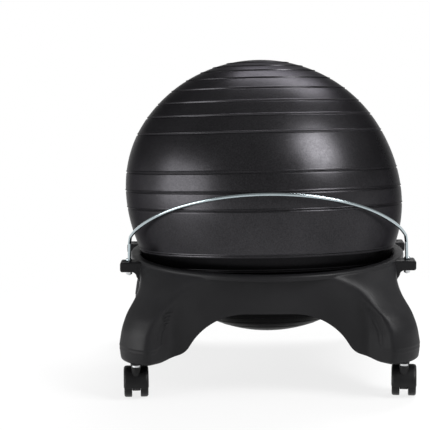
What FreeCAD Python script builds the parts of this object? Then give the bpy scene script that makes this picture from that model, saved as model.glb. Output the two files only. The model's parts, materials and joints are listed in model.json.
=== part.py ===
import FreeCAD, Part
import math
import os
import Sketcher

# Balance ball chair, in millimetres. +Z is up, the floor is Z = 0, the origin lies on the floor
# below the middle of the seat, and the support bar is on the front, towards -Y.

doc = FreeCAD.newDocument("BalanceBallChair")
Vector = FreeCAD.Vector
Rotation = FreeCAD.Rotation
Placement = FreeCAD.Placement
ORIGIN = Vector(0, 0, 0)
X_AXIS = Vector(1, 0, 0)
Y_AXIS = Vector(0, 1, 0)
Z_AXIS = Vector(0, 0, 1)
LENGTHWISE = Rotation(Y_AXIS, 90)
TOWARDS_REAR = Rotation(X_AXIS, -90)

SIZES = (
    ("ball_radius", 260.0, "inflated ball, to the skin between its ridges"),
    ("ball_wall", 1.2, "thickness of the ball's skin"),
    ("ball_lean", 6.3, "degrees that the ridges' axis leans to the rear"),
    ("ridge_radius", 3.0, "section radius of a moulded ridge"),
    ("ridge_sink", 2.2, "depth of a ridge's centre under the skin"),
    ("ball_gap", 0.3, "free space between the ridges and the seat"),
    ("valve_radius", 4.0, "stem of the air plug"),
    ("plug_flange_radius", 7.0, "flange of the air plug"),
    ("plug_flange", 1.6, "thickness of the air plug's flange"),
    ("plug_length", 9.0, "length of the air plug's stem"),
    ("plug_gap", 0.05, "gap between the air plug and its hole"),
    ("plug_latitude", 13.0, "degrees of the air plug below the ridges' equator"),
    ("base_height", 157.5, "from the underside of the legs to the top of the seat rim"),
    ("rim_width", 22.2, "from the seat's edge out to the rim's outer edge"),
    ("rim_round", 5.0, "rounding of the rim's outer edge"),
    ("rim_land", 11.0, "flat width of the rim's top"),
    ("rim_bevel", 4.5, "drop of the bevel inside the rim"),
    ("lip_depth", 10.0, "depth of the turned-down lip"),
    ("seat_inset", 23.2, "the seat's edge is this much narrower than the ball"),
    ("seat_depth", 28.0, "height of the spherical seat band"),
    ("wall", 4.5, "wall of the base moulding"),
    ("panel_inset", 17.5, "middle of each side panel behind the rim's edge"),
    ("panel_sag", 22.0, "how far a panel bows back at its ends"),
    ("leg_flare", 94.5, "outermost point of a leg past the rim, along the diagonal"),
    ("leg_half", 37.0, "half width of a leg above its foot"),
    ("crown_depth", 71.5, "crown of the arches below the rim"),
    ("arch_turn", 58.0, "degrees of the arch's shoulder"),
    ("arch_drop", 14.0, "straight run below the shoulder"),
    ("arch_toe", 25.0, "radius of the arch's reverse curve"),
    ("toe_slope", 19.0, "degrees of the leg's lower edge"),
    ("toe_height", 9.7, "height over which the leg's lower edge slopes"),
    ("toe_inset", 49.9, "inner end of the leg's underside from the stem, level"),
    ("ear_overhang", 13.0, "outer face of the ears past the rim"),
    ("ear_spacing", 96.5, "ear middle from the joint plane"),
    ("ear_overlap", 31.0, "inner end of the ears inside the rim's edge"),
    ("ear_width", 35.0, "length of an ear along the side"),
    ("ear_height", 18.5, "depth of an ear"),
    ("ear_drop", 2.0, "ear top below the rim"),
    ("ear_round", 3.5, "rounding of an ear"),
    ("rod_inset", 15.5, "rod axis inside the ears' outer face"),
    ("rod_radius", 3.0, "support bar wire"),
    ("rod_gap", 0.3, "gap of the rod in its ear"),
    ("bar_stand", 37.0, "where the bar turns inwards, above the rim"),
    ("bar_rise", 108.0, "height of the bar's middle above its corners"),
    ("bar_gap", 1.5, "the bar's middle clears the ball's width by this"),
    ("bar_bend", 8.0, "bend radius of the wire's centre line"),
    ("bar_lead", 16.0, "straight lead from the bend to the arc"),
    ("collar_radius", 4.2, "upset collar on the rod"),
    ("collar_height", 4.0, "height of the upset collar"),
    ("nut_flats", 10.0, "width across the flats of the nuts"),
    ("nut_height", 5.0, "height of the nuts"),
    ("washer_radius", 6.0, "washers of the nuts"),
    ("washer_height", 1.2, "thickness of those washers"),
    ("thread_gap", 0.05, "gap between a thread and its nut"),
    ("rod_tail", 1.0, "rod length past its nut"),
    ("bolt_radius", 3.0, "joining bolt shank"),
    ("bolt_head", 4.0, "joining bolt head"),
    ("bolt_tail", 2.0, "bolt length past its nut"),
    ("bolt_inset", 13.5, "joining bolt behind the middle of the side panel"),
    ("bolt_depth", 49.0, "joining bolt below the rim"),
    ("flange", 5.0, "thickness of each joining flange"),
    ("flange_depth", 25.5, "depth of the joining flanges behind the panel's middle"),
    ("rib", 3.0, "thickness of the stiffening ribs"),
    ("rib_spacing", 75.0, "panel ribs from the middle of a panel"),
    ("panel_rib_drop", 30.0, "lower end of the panel ribs below the arch's crown"),
    ("leg_rib_lift", 8.5, "lower edge of the leg ribs above the leg's underside"),
    ("leg_rib_length", 85.5, "length of the leg ribs along the diagonal"),
    ("stem_inset", 18.33, "caster stem inside the outermost point of its leg"),
    ("boss_radius", 11.0, "caster boss inside a foot"),
    ("boss_lift", 13.0, "underside of the caster boss above the wheels"),
    ("boss_drop", 4.5, "underside of the caster boss below the leg's underside"),
    ("socket_depth", 40.0, "depth of the caster socket"),
    ("stem_radius", 5.5, "caster stem in its socket"),
    ("stem_gap", 0.1, "gap of the stem in its socket"),
    ("stem_tip_gap", 2.0, "space above the stem in its socket"),
    ("groove_depth", 1.2, "groove of the grip ring"),
    ("grip_width", 2.4, "height of the grip ring"),
    ("grip_drop", 8.0, "grip ring below the stem's tip"),
    ("flange_radius", 7.0, "stem flange below the foot"),
    ("flange_height", 2.5, "thickness of the stem flange"),
    ("spigot_radius", 4.0, "stem in the caster hood"),
    ("spigot_length", 25.0, "length of the stem in the hood"),
    ("thrust_radius", 7.6, "thrust washer"),
    ("thrust_height", 1.0, "thickness of the thrust washer"),
    ("running_gap", 0.05, "radial gap of turning fits"),
    ("face_gap", 0.2, "gap between faces that turn past each other"),
    ("wheel_radius", 25.0, "caster wheel"),
    ("wheel_inner", 7.5, "inner face of a wheel from the caster's middle"),
    ("wheel_outer", 21.6, "outer face of a wheel from the caster's middle"),
    ("wheel_round", 5.0, "rounding of a wheel's outer edge"),
    ("wheel_bevel", 1.0, "bevel of a wheel's inner edge"),
    ("axle_radius", 3.0, "caster axle"),
    ("axle_half", 18.0, "half length of the axle"),
    ("trail", 18.0, "axle behind the stem"),
    ("hood_gap", 1.5, "space between the wheels and the hood"),
    ("hood_wall", 3.0, "thickness of the hood's guard"),
    ("hood_half", 22.3, "half width of the hood's guard"),
    ("hood_rear", 35.0, "degrees above level where the guard starts"),
    ("hood_sweep", 145.0, "degrees that the guard covers"),
    ("web_half", 6.6, "half thickness of the hood's middle web"),
    ("web_radius", 15.0, "round lower end of the middle web"),
    ("web_front", 6.4, "front of the middle web from the stem's axis"),
    ("web_front_low", 6.0, "lower front corner of the middle web above the axle"),
    ("web_front_high", 24.0, "upper front corner of the middle web above the axle"),
    ("neck_radius", 8.0, "hood neck round the stem"),
    ("neck_height", 9.0, "height of the hood's full neck"),
    ("lever_gap", 1.5, "space between the pressed lever and the guard"),
    ("lever_wall", 3.0, "thickness of the brake lever"),
    ("lever_half", 9.5, "half width of the brake lever"),
    ("lever_pin_angle", 88.0, "degrees of the lever's pin above level"),
    ("lever_tip_angle", 54.0, "degrees of the lever's free end"),
    ("lever_raise", 12.0, "degrees that the released lever stands up"),
    ("barrel_radius", 2.8, "barrel of the brake lever"),
    ("lever_pin_radius", 1.25, "pin of the brake lever"),
    ("lug_wall", 3.5, "width of a lug beside the lever"),
)

# Latitudes of the ball's moulded ridges, in degrees from the ridges' equator. Two wide bands
# stay smooth, one above and one below the three ridges near the equator.
RIDGES = (77, 71, 65.5, 58.6, 51.2, 43.4, 36.2, 28.1, 11.4, 3.5, -3.7,
          -22.1, -29, -36.2, -44, -51.4, -58.3, -64, -70)

# The leg's outline from the foot up to the rim: share of the leg's height, share of its flare,
# corner radius of the base's outline there as a share of the rim's radius, and half width of the
# leg as a share of leg_half.
LEG_STATIONS = (
    (0.00, 0.942, 0.212, 0.92),
    (0.15, 1.000, 0.232, 1.00),
    (0.37, 0.968, 0.193, 0.81),
    (0.54, 0.790, 0.224, 0.92),
    (0.69, 0.505, 0.378, 1.175),
    (0.85, 0.230, 0.637, 1.675),
    (0.95, 0.045, 0.896, 2.215),
    (1.00, 0.006, 0.988, 2.62),
)

# Each caster: its name, the signs of its corner, and the degrees it is turned at rest.
CASTERS = (
    ("front_left", -1, -1, 4),
    ("front_right", 1, -1, -6),
    ("rear_left", -1, 1, -84),
    ("rear_right", 1, 1, 96),
)

sheet = doc.addObject("Spreadsheet::Sheet", "Sizes")
for row, (alias, value, meaning) in enumerate(SIZES, start=1):
    sheet.set(f"A{row}", meaning)
    sheet.set(f"B{row}", str(value))
    sheet.setAlias(f"B{row}", alias)
doc.recompute()


def size(alias):
    return float(sheet.get(alias))


def value_of(expression):
    result = sheet.evalExpression(expression)
    return float(getattr(result, "Value", result))


def bind(feature, **expressions):
    for name, expression in expressions.items():
        feature.setExpression(name, expression)
    return feature


# Heights, from the floor and the casters up to the bar
boss_bottom = 2 * size("wheel_radius") + size("boss_lift")
foot_height = boss_bottom + size("boss_drop")
rim_height = foot_height + size("base_height")
lip_bottom = rim_height - size("lip_depth")
leg_top = rim_height - size("rim_round") - 1
arch_crown = rim_height - size("crown_depth")
bolt_height = rim_height - size("bolt_depth")
ear_top = rim_height - size("ear_drop")
ear_bottom = ear_top - size("ear_height")
bar_corner = rim_height + size("bar_stand")
flange_bottom = boss_bottom - size("flange_height")
hood_top = flange_bottom - size("thrust_height") - size("face_gap")

# Reaches, from the ball and its seat outwards
seat_radius = size("ball_radius") - size("seat_inset")
seat_clearance = size("ridge_radius") - size("ridge_sink") + size("ball_gap")
seat_sphere = size("ball_radius") + seat_clearance
bevel_height = rim_height - size("rim_bevel")
ball_height = bevel_height + math.sqrt(seat_sphere ** 2 - seat_radius ** 2)
rim_radius = seat_radius + size("rim_width")
panel_reach = rim_radius - size("panel_inset")
flange_reach = panel_reach - size("flange_depth")
bolt_reach = panel_reach - size("bolt_inset")
ear_reach = rim_radius + size("ear_overhang")
bar_spacing = ear_reach - size("rod_inset")
bar_reach = size("ball_radius") + size("bar_gap") + size("rod_radius")
leg_reach = rim_radius + size("leg_flare")
stem_reach = leg_reach - size("stem_inset")
stem_spacing = stem_reach * math.sqrt(0.5)
guard_inner = size("wheel_radius") + size("hood_gap")
guard_outer = guard_inner + size("hood_wall")


def cylinder(name, radius, height, base=ORIGIN, turn=None):
    feature = doc.addObject("Part::Cylinder", name)
    bind(feature, Radius=radius, Height=height)
    feature.Placement = Placement(base, turn or Rotation())
    return feature


def combine(kind, name, *shapes):
    feature = doc.addObject(kind, name)
    if kind == "Part::Cut":
        feature.Base, feature.Tool = shapes
    elif kind == "Part::Compound":
        feature.Links = list(shapes)
    else:
        feature.Shapes = list(shapes)
    return feature


def plane_sketch(body, role, name):
    sketch = body.newObject("Sketcher::SketchObject", name)
    plane = next(item for item in body.Origin.OriginFeatures if item.Role == role)
    sketch.AttachmentSupport = [(plane, "")]
    sketch.MapMode = "FlatFace"
    return sketch


def polygon(sketch, corners):
    """Draws a closed outline whose corners are pairs of expressions on the sheet."""
    points = [Vector(value_of(across), value_of(up), 0) for across, up in corners]
    for index, point in enumerate(points):
        sketch.addGeometry(Part.LineSegment(point, points[(index + 1) % len(points)]), False)
    for index in range(len(points)):
        following = (index + 1) % len(points)
        sketch.addConstraint(Sketcher.Constraint("Coincident", index, 2, following, 1))
    for index, (across, up) in enumerate(corners):
        for kind, axis, expression in (("DistanceX", -2, across), ("DistanceY", -1, up)):
            if expression == "0":
                sketch.addConstraint(Sketcher.Constraint("PointOnObject", index, 1, axis))
                continue
            value = value_of(expression)
            number = sketch.addConstraint(Sketcher.Constraint(kind, -1, 1, index, 1, value))
            sketch.setExpression(f"Constraints[{number}]", expression)


def turned(name, corners, axis, role="XZ_Plane"):
    """Turns an outline in the XZ plane about one of the plane's axes."""
    body = doc.addObject("PartDesign::Body", name)
    sketch = plane_sketch(body, role, name + "_outline")
    polygon(sketch, corners)
    revolution = body.newObject("PartDesign::Revolution", name + "_turned")
    revolution.Profile = sketch
    revolution.ReferenceAxis = (sketch, [axis])
    revolution.Angle = 360
    return body


def padded(name, corners, length, role="YZ_Plane"):
    """Pads an outline to both sides of one of the body's own planes."""
    body = doc.addObject("PartDesign::Body", name)
    sketch = plane_sketch(body, role, name + "_outline")
    polygon(sketch, corners)
    pad = body.newObject("PartDesign::Pad", name + "_pad")
    pad.Profile = sketch
    pad.SideType = "Symmetric"
    bind(pad, Length=length)
    return body


def hexagon(name, height, base, turn=None):
    feature = doc.addObject("Part::Prism", name)
    feature.Polygon = 6
    bind(feature, Circumradius="Sizes.nut_flats / sqrt(3)", Height=height)
    feature.Placement = Placement(base, turn or Rotation())
    return feature


# Base moulding
def rounded_square(half_width, corner, height):
    """A level square outline with round corners, round the seat's axis."""
    flat = half_width - corner
    bow = flat + corner * math.sqrt(0.5)
    edges = []
    for quarter in range(4):
        turn = Rotation(Z_AXIS, 90 * quarter)
        start = turn.multVec(Vector(half_width, -flat, height))
        end = turn.multVec(Vector(half_width, flat, height))
        middle = turn.multVec(Vector(bow, bow, height))
        after = turn.multVec(Vector(flat, half_width, height))
        edges.append(Part.LineSegment(start, end).toShape())
        edges.append(Part.Arc(end, middle, after).toShape())
    return Part.Wire(edges)


def station_height(share):
    return foot_height + share * (leg_top - foot_height)


def flared_form(inset):
    """The flowing outside of rim and legs; inset moves it inwards and down by a wall."""
    outlines = []
    for share, flare, corner_share, _ in LEG_STATIONS:
        reach = rim_radius + flare * size("leg_flare") - inset
        corner = corner_share * rim_radius - inset
        half_width = (reach + (math.sqrt(2) - 1) * corner) / math.sqrt(2)
        outlines.append(rounded_square(half_width, corner, station_height(share) - inset))
    return Part.makeLoft(outlines, True, False)


def leg_slab(inset, angle):
    """A slab along one diagonal, as wide at each height as the two legs that it holds."""
    side = [Vector(0, half_share * size("leg_half") - inset, station_height(share) - inset)
            for share, _, _, half_share in LEG_STATIONS]
    other = [Vector(0, -point.y, point.z) for point in reversed(side)]
    edges = []
    for run in (side, other):
        curve = Part.BSplineCurve()
        curve.interpolate(run)
        edges.append(curve.toShape())
    edges.insert(1, Part.LineSegment(side[-1], other[0]).toShape())
    edges.append(Part.LineSegment(other[-1], side[0]).toShape())
    face = Part.Face(Part.Wire(edges))
    reach = leg_reach * 1.2
    face.translate(Vector(-reach, 0, 0))
    slab = face.extrude(Vector(2 * reach, 0, 0))
    slab.rotate(ORIGIN, Z_AXIS, angle)
    return slab


def panel_block(inset):
    """The block inside the four gently bowed side panels."""
    middle = panel_reach - inset
    corner = panel_reach - size("panel_sag") - inset
    floor = foot_height - 2 * size("wall") - inset
    edges = []
    for quarter in range(4):
        turn = Rotation(Z_AXIS, 90 * quarter)
        points = (Vector(corner, -corner, floor), Vector(middle, 0, floor), Vector(corner, corner, floor))
        edges.append(Part.Arc(*[turn.multVec(point) for point in points]).toShape())
    return Part.Face(Part.Wire(edges)).extrude(Vector(0, 0, rim_height - floor))


def arch_cut(turned_by):
    """The space below one pair of arches, as a block along Y or X.

    The shoulder takes up the height that the straight run, the toe and the slope leave, and the
    level crown takes up the width."""
    toe = size("arch_toe")
    turn = math.radians(size("arch_turn"))
    slope = math.radians(size("toe_slope"))
    run_width = size("arch_drop") * math.cos(turn)
    run_height = size("arch_drop") * math.sin(turn)
    toe_width = toe * (math.sin(turn) - math.sin(slope))
    toe_fall = toe * (math.cos(slope) - math.cos(turn))
    slope_width = size("toe_height") / math.tan(slope)
    shoulder_fall = arch_crown - foot_height - run_height - toe_fall - size("toe_height")
    shoulder = shoulder_fall / (1 - math.cos(turn))
    foot_x = stem_spacing - size("toe_inset")
    end_x = foot_x - slope_width
    run_x = end_x - toe_width
    top_x = run_x - run_width
    flat = top_x - shoulder * math.sin(turn)
    top_z = arch_crown - shoulder_fall
    run_z = top_z - run_height
    end_z = run_z - toe_fall

    def shoulder_point(angle):
        return flat + shoulder * math.sin(angle), arch_crown - shoulder * (1 - math.cos(angle))

    def toe_point(angle):
        return run_x + toe * (math.sin(turn) - math.sin(angle)), \
            run_z - toe * (math.cos(angle) - math.cos(turn))

    right = [("line", (0, arch_crown), (flat, arch_crown)),
             ("arc", (flat, arch_crown), shoulder_point(turn / 2), (top_x, top_z)),
             ("line", (top_x, top_z), (run_x, run_z)),
             ("arc", (run_x, run_z), toe_point((turn + slope) / 2), (end_x, end_z)),
             ("line", (end_x, end_z), (foot_x, foot_height)),
             ("line", (foot_x, foot_height), (foot_x, 0)),
             ("line", (foot_x, 0), (0, 0))]
    edges = []
    for side in (1, -1):
        for kind, *points in right:
            spots = [Vector(side * across, -2 * leg_reach, up) for across, up in points]
            curve = Part.LineSegment(*spots) if kind == "line" else Part.Arc(*spots)
            edges.append(curve.toShape())
    face = Part.Face(Part.Wire(Part.__sortEdges__(edges)))
    block = face.extrude(Vector(0, 4 * leg_reach, 0))
    block.rotate(ORIGIN, Z_AXIS, turned_by)
    return block


def rim_ring():
    """The rim with its turned-down lip and the spherical band that the ball sits in."""
    centre = Vector(0, 0, ball_height)
    wall = size("wall")
    top = rim_height
    outer = rim_radius
    fillet = size("rim_round")
    under = top - wall

    def on_sphere(radius, height):
        return Vector(math.sqrt(radius ** 2 - (height - ball_height) ** 2), 0, height)

    def spot(across, height):
        return Vector(across, 0, height)

    upper = on_sphere(seat_sphere, bevel_height)
    lower = on_sphere(seat_sphere, bevel_height - size("seat_depth"))
    outward = (lower - centre).normalize() * wall
    back_top = on_sphere(seat_sphere + wall, under)
    back_bottom = lower + outward
    middle_front = on_sphere(seat_sphere, (upper.z + lower.z) / 2)
    middle_back = on_sphere(seat_sphere + wall, (back_top.z + back_bottom.z) / 2)
    round_middle = spot(outer - fillet * (1 - math.sqrt(0.5)), top - fillet * (1 - math.sqrt(0.5)))
    land = outer - fillet - size("rim_land")
    curves = (
        Part.LineSegment(spot(outer, lip_bottom), spot(outer, top - fillet)),
        Part.Arc(spot(outer, top - fillet), round_middle, spot(outer - fillet, top)),
        Part.LineSegment(spot(outer - fillet, top), spot(land, top)),
        Part.LineSegment(spot(land, top), upper),
        Part.Arc(upper, middle_front, lower),
        Part.LineSegment(lower, back_bottom),
        Part.Arc(back_bottom, middle_back, back_top),
        Part.LineSegment(back_top, spot(outer - wall, under)),
        Part.LineSegment(spot(outer - wall, under), spot(outer - wall, lip_bottom)),
        Part.LineSegment(spot(outer - wall, lip_bottom), spot(outer, lip_bottom)),
    )
    face = Part.Face(Part.Wire([curve.toShape() for curve in curves]))
    return face.revolve(ORIGIN, Z_AXIS, 360)


def box(low, high):
    spread = high - low
    return Part.makeBox(spread.x, spread.y, spread.z, low)


def corners():
    return [(x_sign, y_sign) for x_sign in (-1, 1) for y_sign in (-1, 1)]


def ear(x_sign, y_sign):
    half = size("ear_width") / 2
    block = box(Vector(rim_radius - size("ear_overlap"), size("ear_spacing") - half, ear_bottom),
                Vector(ear_reach, size("ear_spacing") + half, ear_top))
    block = block.makeFillet(size("ear_round"), block.Edges)
    if x_sign < 0:
        block = block.mirror(ORIGIN, X_AXIS)
    if y_sign < 0:
        block = block.mirror(ORIGIN, Y_AXIS)
    return block


def moulding():
    """Both halves of the base in one piece, before they are parted."""
    wall = size("wall")
    outer_sections = panel_block(0).fuse([leg_slab(0, 45), leg_slab(0, -45)])
    outer = flared_form(0).common(outer_sections)
    inner_sections = panel_block(wall).fuse([leg_slab(wall, 45), leg_slab(wall, -45)])
    under_rim = Part.makeCylinder(rim_radius - wall, size("lip_depth"), Vector(0, 0, lip_bottom - wall))
    inner = flared_form(wall).common(inner_sections).fuse(under_rim.common(panel_block(wall)))
    shell = outer.cut(inner)
    ball_space = Part.makeSphere(seat_sphere, Vector(0, 0, ball_height))
    shell = shell.cut(ball_space)

    ribs = []
    rib = size("rib") / 2
    spacing = size("rib_spacing")
    for turn in (0, 90, 180, 270):
        for side in (-1, 1):
            plate = box(Vector(side * spacing - rib, -panel_reach - 1, arch_crown - size("panel_rib_drop")),
                        Vector(side * spacing + rib, -flange_reach, leg_top - 1))
            plate.rotate(ORIGIN, Z_AXIS, turn)
            ribs.append(plate)
    for side in (-1, 1):
        plate = box(Vector(flange_reach, -size("flange"), arch_crown),
                    Vector(panel_reach + 1, size("flange"), leg_top - 1))
        if side < 0:
            plate.rotate(ORIGIN, Z_AXIS, 180)
        ribs.append(plate)
    rib_floor = foot_height + size("leg_rib_lift")
    widest_leg = size("leg_half") * max(half_share for _, _, _, half_share in LEG_STATIONS)
    for turn in (45, 135, 225, 315):
        along = box(Vector(leg_reach - size("leg_rib_length"), -rib, rib_floor),
                    Vector(leg_reach, rib, leg_top))
        across = box(Vector(stem_reach - rib, -widest_leg, rib_floor),
                     Vector(stem_reach + rib, widest_leg, leg_top))
        for plate in (along, across):
            plate.rotate(ORIGIN, Z_AXIS, turn)
            ribs.append(plate)
    skin = Part.makeSphere(seat_sphere + wall / 2, Vector(0, 0, ball_height))
    ribs = [plate.common(outer).cut(skin) for plate in ribs]

    bosses = []
    for x_sign, y_sign in corners():
        foot = Vector(x_sign * stem_spacing, y_sign * stem_spacing, boss_bottom)
        height = size("socket_depth") + wall
        bosses.append(Part.makeCylinder(size("boss_radius"), height, foot))
    ears = [ear(x_sign, y_sign) for x_sign, y_sign in corners()]
    body = shell.fuse([rim_ring()] + ribs + bosses + ears)

    cuts = [arch_cut(0), arch_cut(90)]
    for x_sign, y_sign in corners():
        socket = Vector(x_sign * stem_spacing, y_sign * stem_spacing, boss_bottom - 1)
        socket_radius = size("stem_radius") + size("stem_gap")
        cuts.append(Part.makeCylinder(socket_radius, size("socket_depth") + 1, socket))
        rod = Vector(x_sign * bar_spacing, y_sign * size("ear_spacing"), ear_bottom - 1)
        rod_hole = size("rod_radius") + size("rod_gap")
        cuts.append(Part.makeCylinder(rod_hole, size("ear_height") + 2, rod))
    for side in (-1, 1):
        bolt = Vector(side * bolt_reach, -2 * size("flange"), bolt_height)
        bolt_hole = size("bolt_radius") + size("rod_gap")
        cuts.append(Part.makeCylinder(bolt_hole, 4 * size("flange"), bolt, Y_AXIS))
    return body.cut(cuts)


whole_base = moulding()
half_space = 2 * leg_reach
for name, low, high in (("base_front", -half_space, 0), ("base_rear", 0, half_space)):
    part_of = box(Vector(-half_space, low, 0), Vector(half_space, high, bar_corner))
    half = doc.addObject("Part::Feature", name)
    half.Shape = whole_base.common(part_of)

# Joining bolts through the flanges at both sides
bolts = []
nuts = []
washers = []
for side, mark in ((-1, "left"), (1, "right")):
    def at(along):
        return Vector(side * bolt_reach, along, bolt_height)

    stack = size("flange") + size("washer_height")
    head = hexagon(f"bolt_head_{mark}", "Sizes.bolt_head", at(-stack - size("bolt_head")), TOWARDS_REAR)
    shank = cylinder(f"bolt_shank_{mark}", "Sizes.bolt_radius",
                     "2 * Sizes.flange + 2 * Sizes.washer_height + Sizes.nut_height + Sizes.bolt_tail",
                     at(-stack), TOWARDS_REAR)
    bolts.append(combine("Part::MultiFuse", f"joining_bolt_{mark}", head, shank))
    nut = hexagon(f"joining_nut_block_{mark}", "Sizes.nut_height", at(stack), TOWARDS_REAR)
    bore = cylinder(f"joining_nut_bore_{mark}", "Sizes.bolt_radius + Sizes.thread_gap",
                    "Sizes.nut_height", at(stack), TOWARDS_REAR)
    nuts.append(combine("Part::Cut", f"joining_nut_{mark}", nut, bore))
    for face, start in (("front", -stack), ("rear", size("flange"))):
        disc = cylinder(f"joining_disc_{mark}_{face}", "Sizes.washer_radius", "Sizes.washer_height",
                        at(start), TOWARDS_REAR)
        hole = cylinder(f"joining_hole_{mark}_{face}", "Sizes.bolt_radius + Sizes.rod_gap",
                        "Sizes.washer_height", at(start), TOWARDS_REAR)
        washers.append(combine("Part::Cut", f"joining_washer_{mark}_{face}", disc, hole))
combine("Part::Compound", "joining_bolts", *bolts)
combine("Part::Compound", "joining_nuts", *nuts)
combine("Part::Compound", "joining_washers", *washers)


# Support bar: one bent wire, an arc in a leaning plane with its ends turned down into the ears
def bar_path():
    half_chord = bar_spacing
    front = size("ear_spacing")
    rise = Vector(0, front - bar_reach, size("bar_rise"))
    sagitta = rise.Length
    up = rise / sagitta
    lead = size("bar_lead")
    centre_up = (sagitta ** 2 + lead ** 2 - half_chord ** 2) / (2 * sagitta)
    radius = sagitta - centre_up
    middle = Vector(0, -front, bar_corner)
    centre = middle + up * centre_up
    crest = middle + rise
    touch_angle = math.atan2(half_chord, -centre_up) - math.atan2(lead, radius)
    halves = []
    for side in (-1, 1):
        touch = centre + (X_AXIS * (side * math.sin(touch_angle)) + up * math.cos(touch_angle)) * radius
        corner = middle + X_AXIS * (side * half_chord)
        inward = (touch - corner).normalize()
        down = Vector(0, 0, -1)
        bend_angle = math.pi - inward.getAngle(down)
        cut_back = size("bar_bend") * math.tan(bend_angle / 2)
        start = corner + down * cut_back
        end = corner + inward * cut_back
        bisector = (down + inward).normalize()
        bend_centre = corner + bisector * math.hypot(size("bar_bend"), cut_back)
        bend_middle = bend_centre - bisector * size("bar_bend")
        foot = Vector(corner.x, corner.y, rod_end)
        halves.append((foot, start, bend_middle, end, touch))
    left, right = halves
    curves = (
        Part.LineSegment(left[0], left[1]),
        Part.Arc(left[1], left[2], left[3]),
        Part.LineSegment(left[3], left[4]),
        Part.Arc(left[4], crest, right[4]),
        Part.LineSegment(right[4], right[3]),
        Part.Arc(right[3], right[2], right[1]),
        Part.LineSegment(right[1], right[0]),
    )
    return Part.Wire([curve.toShape() for curve in curves])


rod_end = ear_bottom - size("washer_height") - size("nut_height") - size("rod_tail")
path = bar_path()
section = Part.Wire(Part.makeCircle(size("rod_radius"), path.Vertexes[0].Point, Z_AXIS))
wire = path.makePipeShell([section], True, False)
collars = [Part.makeCylinder(size("collar_radius"), size("collar_height"),
                             Vector(side * bar_spacing, -size("ear_spacing"), ear_top))
           for side in (-1, 1)]
bar = doc.addObject("Part::Feature", "support_bar")
bar.Shape = wire.fuse(collars)

nuts = []
washers = []
for side, mark in ((-1, "left"), (1, "right")):
    axis = Vector(side * bar_spacing, -size("ear_spacing"), 0)
    washer_base = axis + Vector(0, 0, ear_bottom - size("washer_height"))
    nut_base = washer_base - Vector(0, 0, size("nut_height"))
    disc = cylinder(f"bar_disc_{mark}", "Sizes.washer_radius", "Sizes.washer_height", washer_base)
    hole = cylinder(f"bar_hole_{mark}", "Sizes.rod_radius + Sizes.rod_gap", "Sizes.washer_height",
                    washer_base)
    washers.append(combine("Part::Cut", f"bar_washer_{mark}", disc, hole))
    block = hexagon(f"bar_nut_block_{mark}", "Sizes.nut_height", nut_base)
    bore = cylinder(f"bar_nut_bore_{mark}", "Sizes.rod_radius + Sizes.thread_gap", "Sizes.nut_height",
                    nut_base)
    nuts.append(combine("Part::Cut", f"bar_nut_{mark}", block, bore))
combine("Part::Compound", "bar_washers", *washers)
combine("Part::Compound", "bar_nuts", *nuts)

# Ball: a thin skin with moulded ridges, whose axis leans to the rear, and its air plug
skin = doc.addObject("Part::Sphere", "ball_skin")
bind(skin, Radius="Sizes.ball_radius")
rings = [skin]
for number, latitude in enumerate(RIDGES, start=1):
    ring = doc.addObject("Part::Torus", f"ridge_{number}")
    bind(ring, Radius1=f"(Sizes.ball_radius - Sizes.ridge_sink) * cos({latitude} deg)",
         Radius2="Sizes.ridge_radius")
    ring.setExpression("Placement.Base.z",
                       f"(Sizes.ball_radius - Sizes.ridge_sink) * sin({latitude} deg)")
    rings.append(ring)
outside = combine("Part::MultiFuse", "ball_outside", *rings)
air = doc.addObject("Part::Sphere", "ball_air")
bind(air, Radius="Sizes.ball_radius - Sizes.ball_wall")
hollow = combine("Part::Cut", "ball_hollow", outside, air)
plug_turn = Rotation(X_AXIS, -90 - size("plug_latitude"))
valve_hole = cylinder("valve_hole", "Sizes.valve_radius + Sizes.plug_gap", "2 * Sizes.ball_radius",
                      ORIGIN, plug_turn)
ball = combine("Part::Cut", "ball", hollow, valve_hole)
ball_place = Placement(Vector(0, 0, ball_height), Rotation(X_AXIS, -size("ball_lean")))
ball.Placement = ball_place

plug = turned("ball_plug", (
    ("0", "Sizes.ball_radius + Sizes.plug_flange"),
    ("Sizes.plug_flange_radius", "Sizes.ball_radius + Sizes.plug_flange"),
    ("Sizes.plug_flange_radius", "Sizes.ball_radius"),
    ("Sizes.valve_radius", "Sizes.ball_radius"),
    ("Sizes.valve_radius", "Sizes.ball_radius - Sizes.plug_length"),
    ("0", "Sizes.ball_radius - Sizes.plug_length"),
), "V_Axis")
plug.Placement = ball_place.multiply(Placement(ORIGIN, plug_turn))


# Casters
def caster_place(x_sign, y_sign, turn):
    return Placement(Vector(x_sign * stem_spacing, y_sign * stem_spacing, 0), Rotation(Z_AXIS, turn))


def stem(name, place):
    boss_face = "2 * Sizes.wheel_radius + Sizes.boss_lift"
    tip = boss_face + " + Sizes.socket_depth - Sizes.stem_tip_gap"
    groove_top = tip + " - Sizes.grip_drop"
    groove_bottom = groove_top + " - Sizes.grip_width"
    groove = "Sizes.stem_radius - Sizes.groove_depth"
    underside = boss_face + " - Sizes.flange_height"
    body = turned(name, (
        ("0", tip),
        ("Sizes.stem_radius", tip),
        ("Sizes.stem_radius", groove_top),
        (groove, groove_top),
        (groove, groove_bottom),
        ("Sizes.stem_radius", groove_bottom),
        ("Sizes.stem_radius", boss_face),
        ("Sizes.flange_radius", boss_face),
        ("Sizes.flange_radius", underside),
        ("Sizes.spigot_radius", underside),
        ("Sizes.spigot_radius", underside + " - Sizes.spigot_length"),
        ("0", underside + " - Sizes.spigot_length"),
    ), "V_Axis")
    body.Placement = place
    return body


def washer_ring(name, place, inner, outer, base, height):
    disc = cylinder(name + "_disc", outer, height, Vector(0, 0, base))
    hole = cylinder(name + "_hole", inner, height, Vector(0, 0, base))
    ring = combine("Part::Cut", name, disc, hole)
    ring.Placement = place
    return ring


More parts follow.
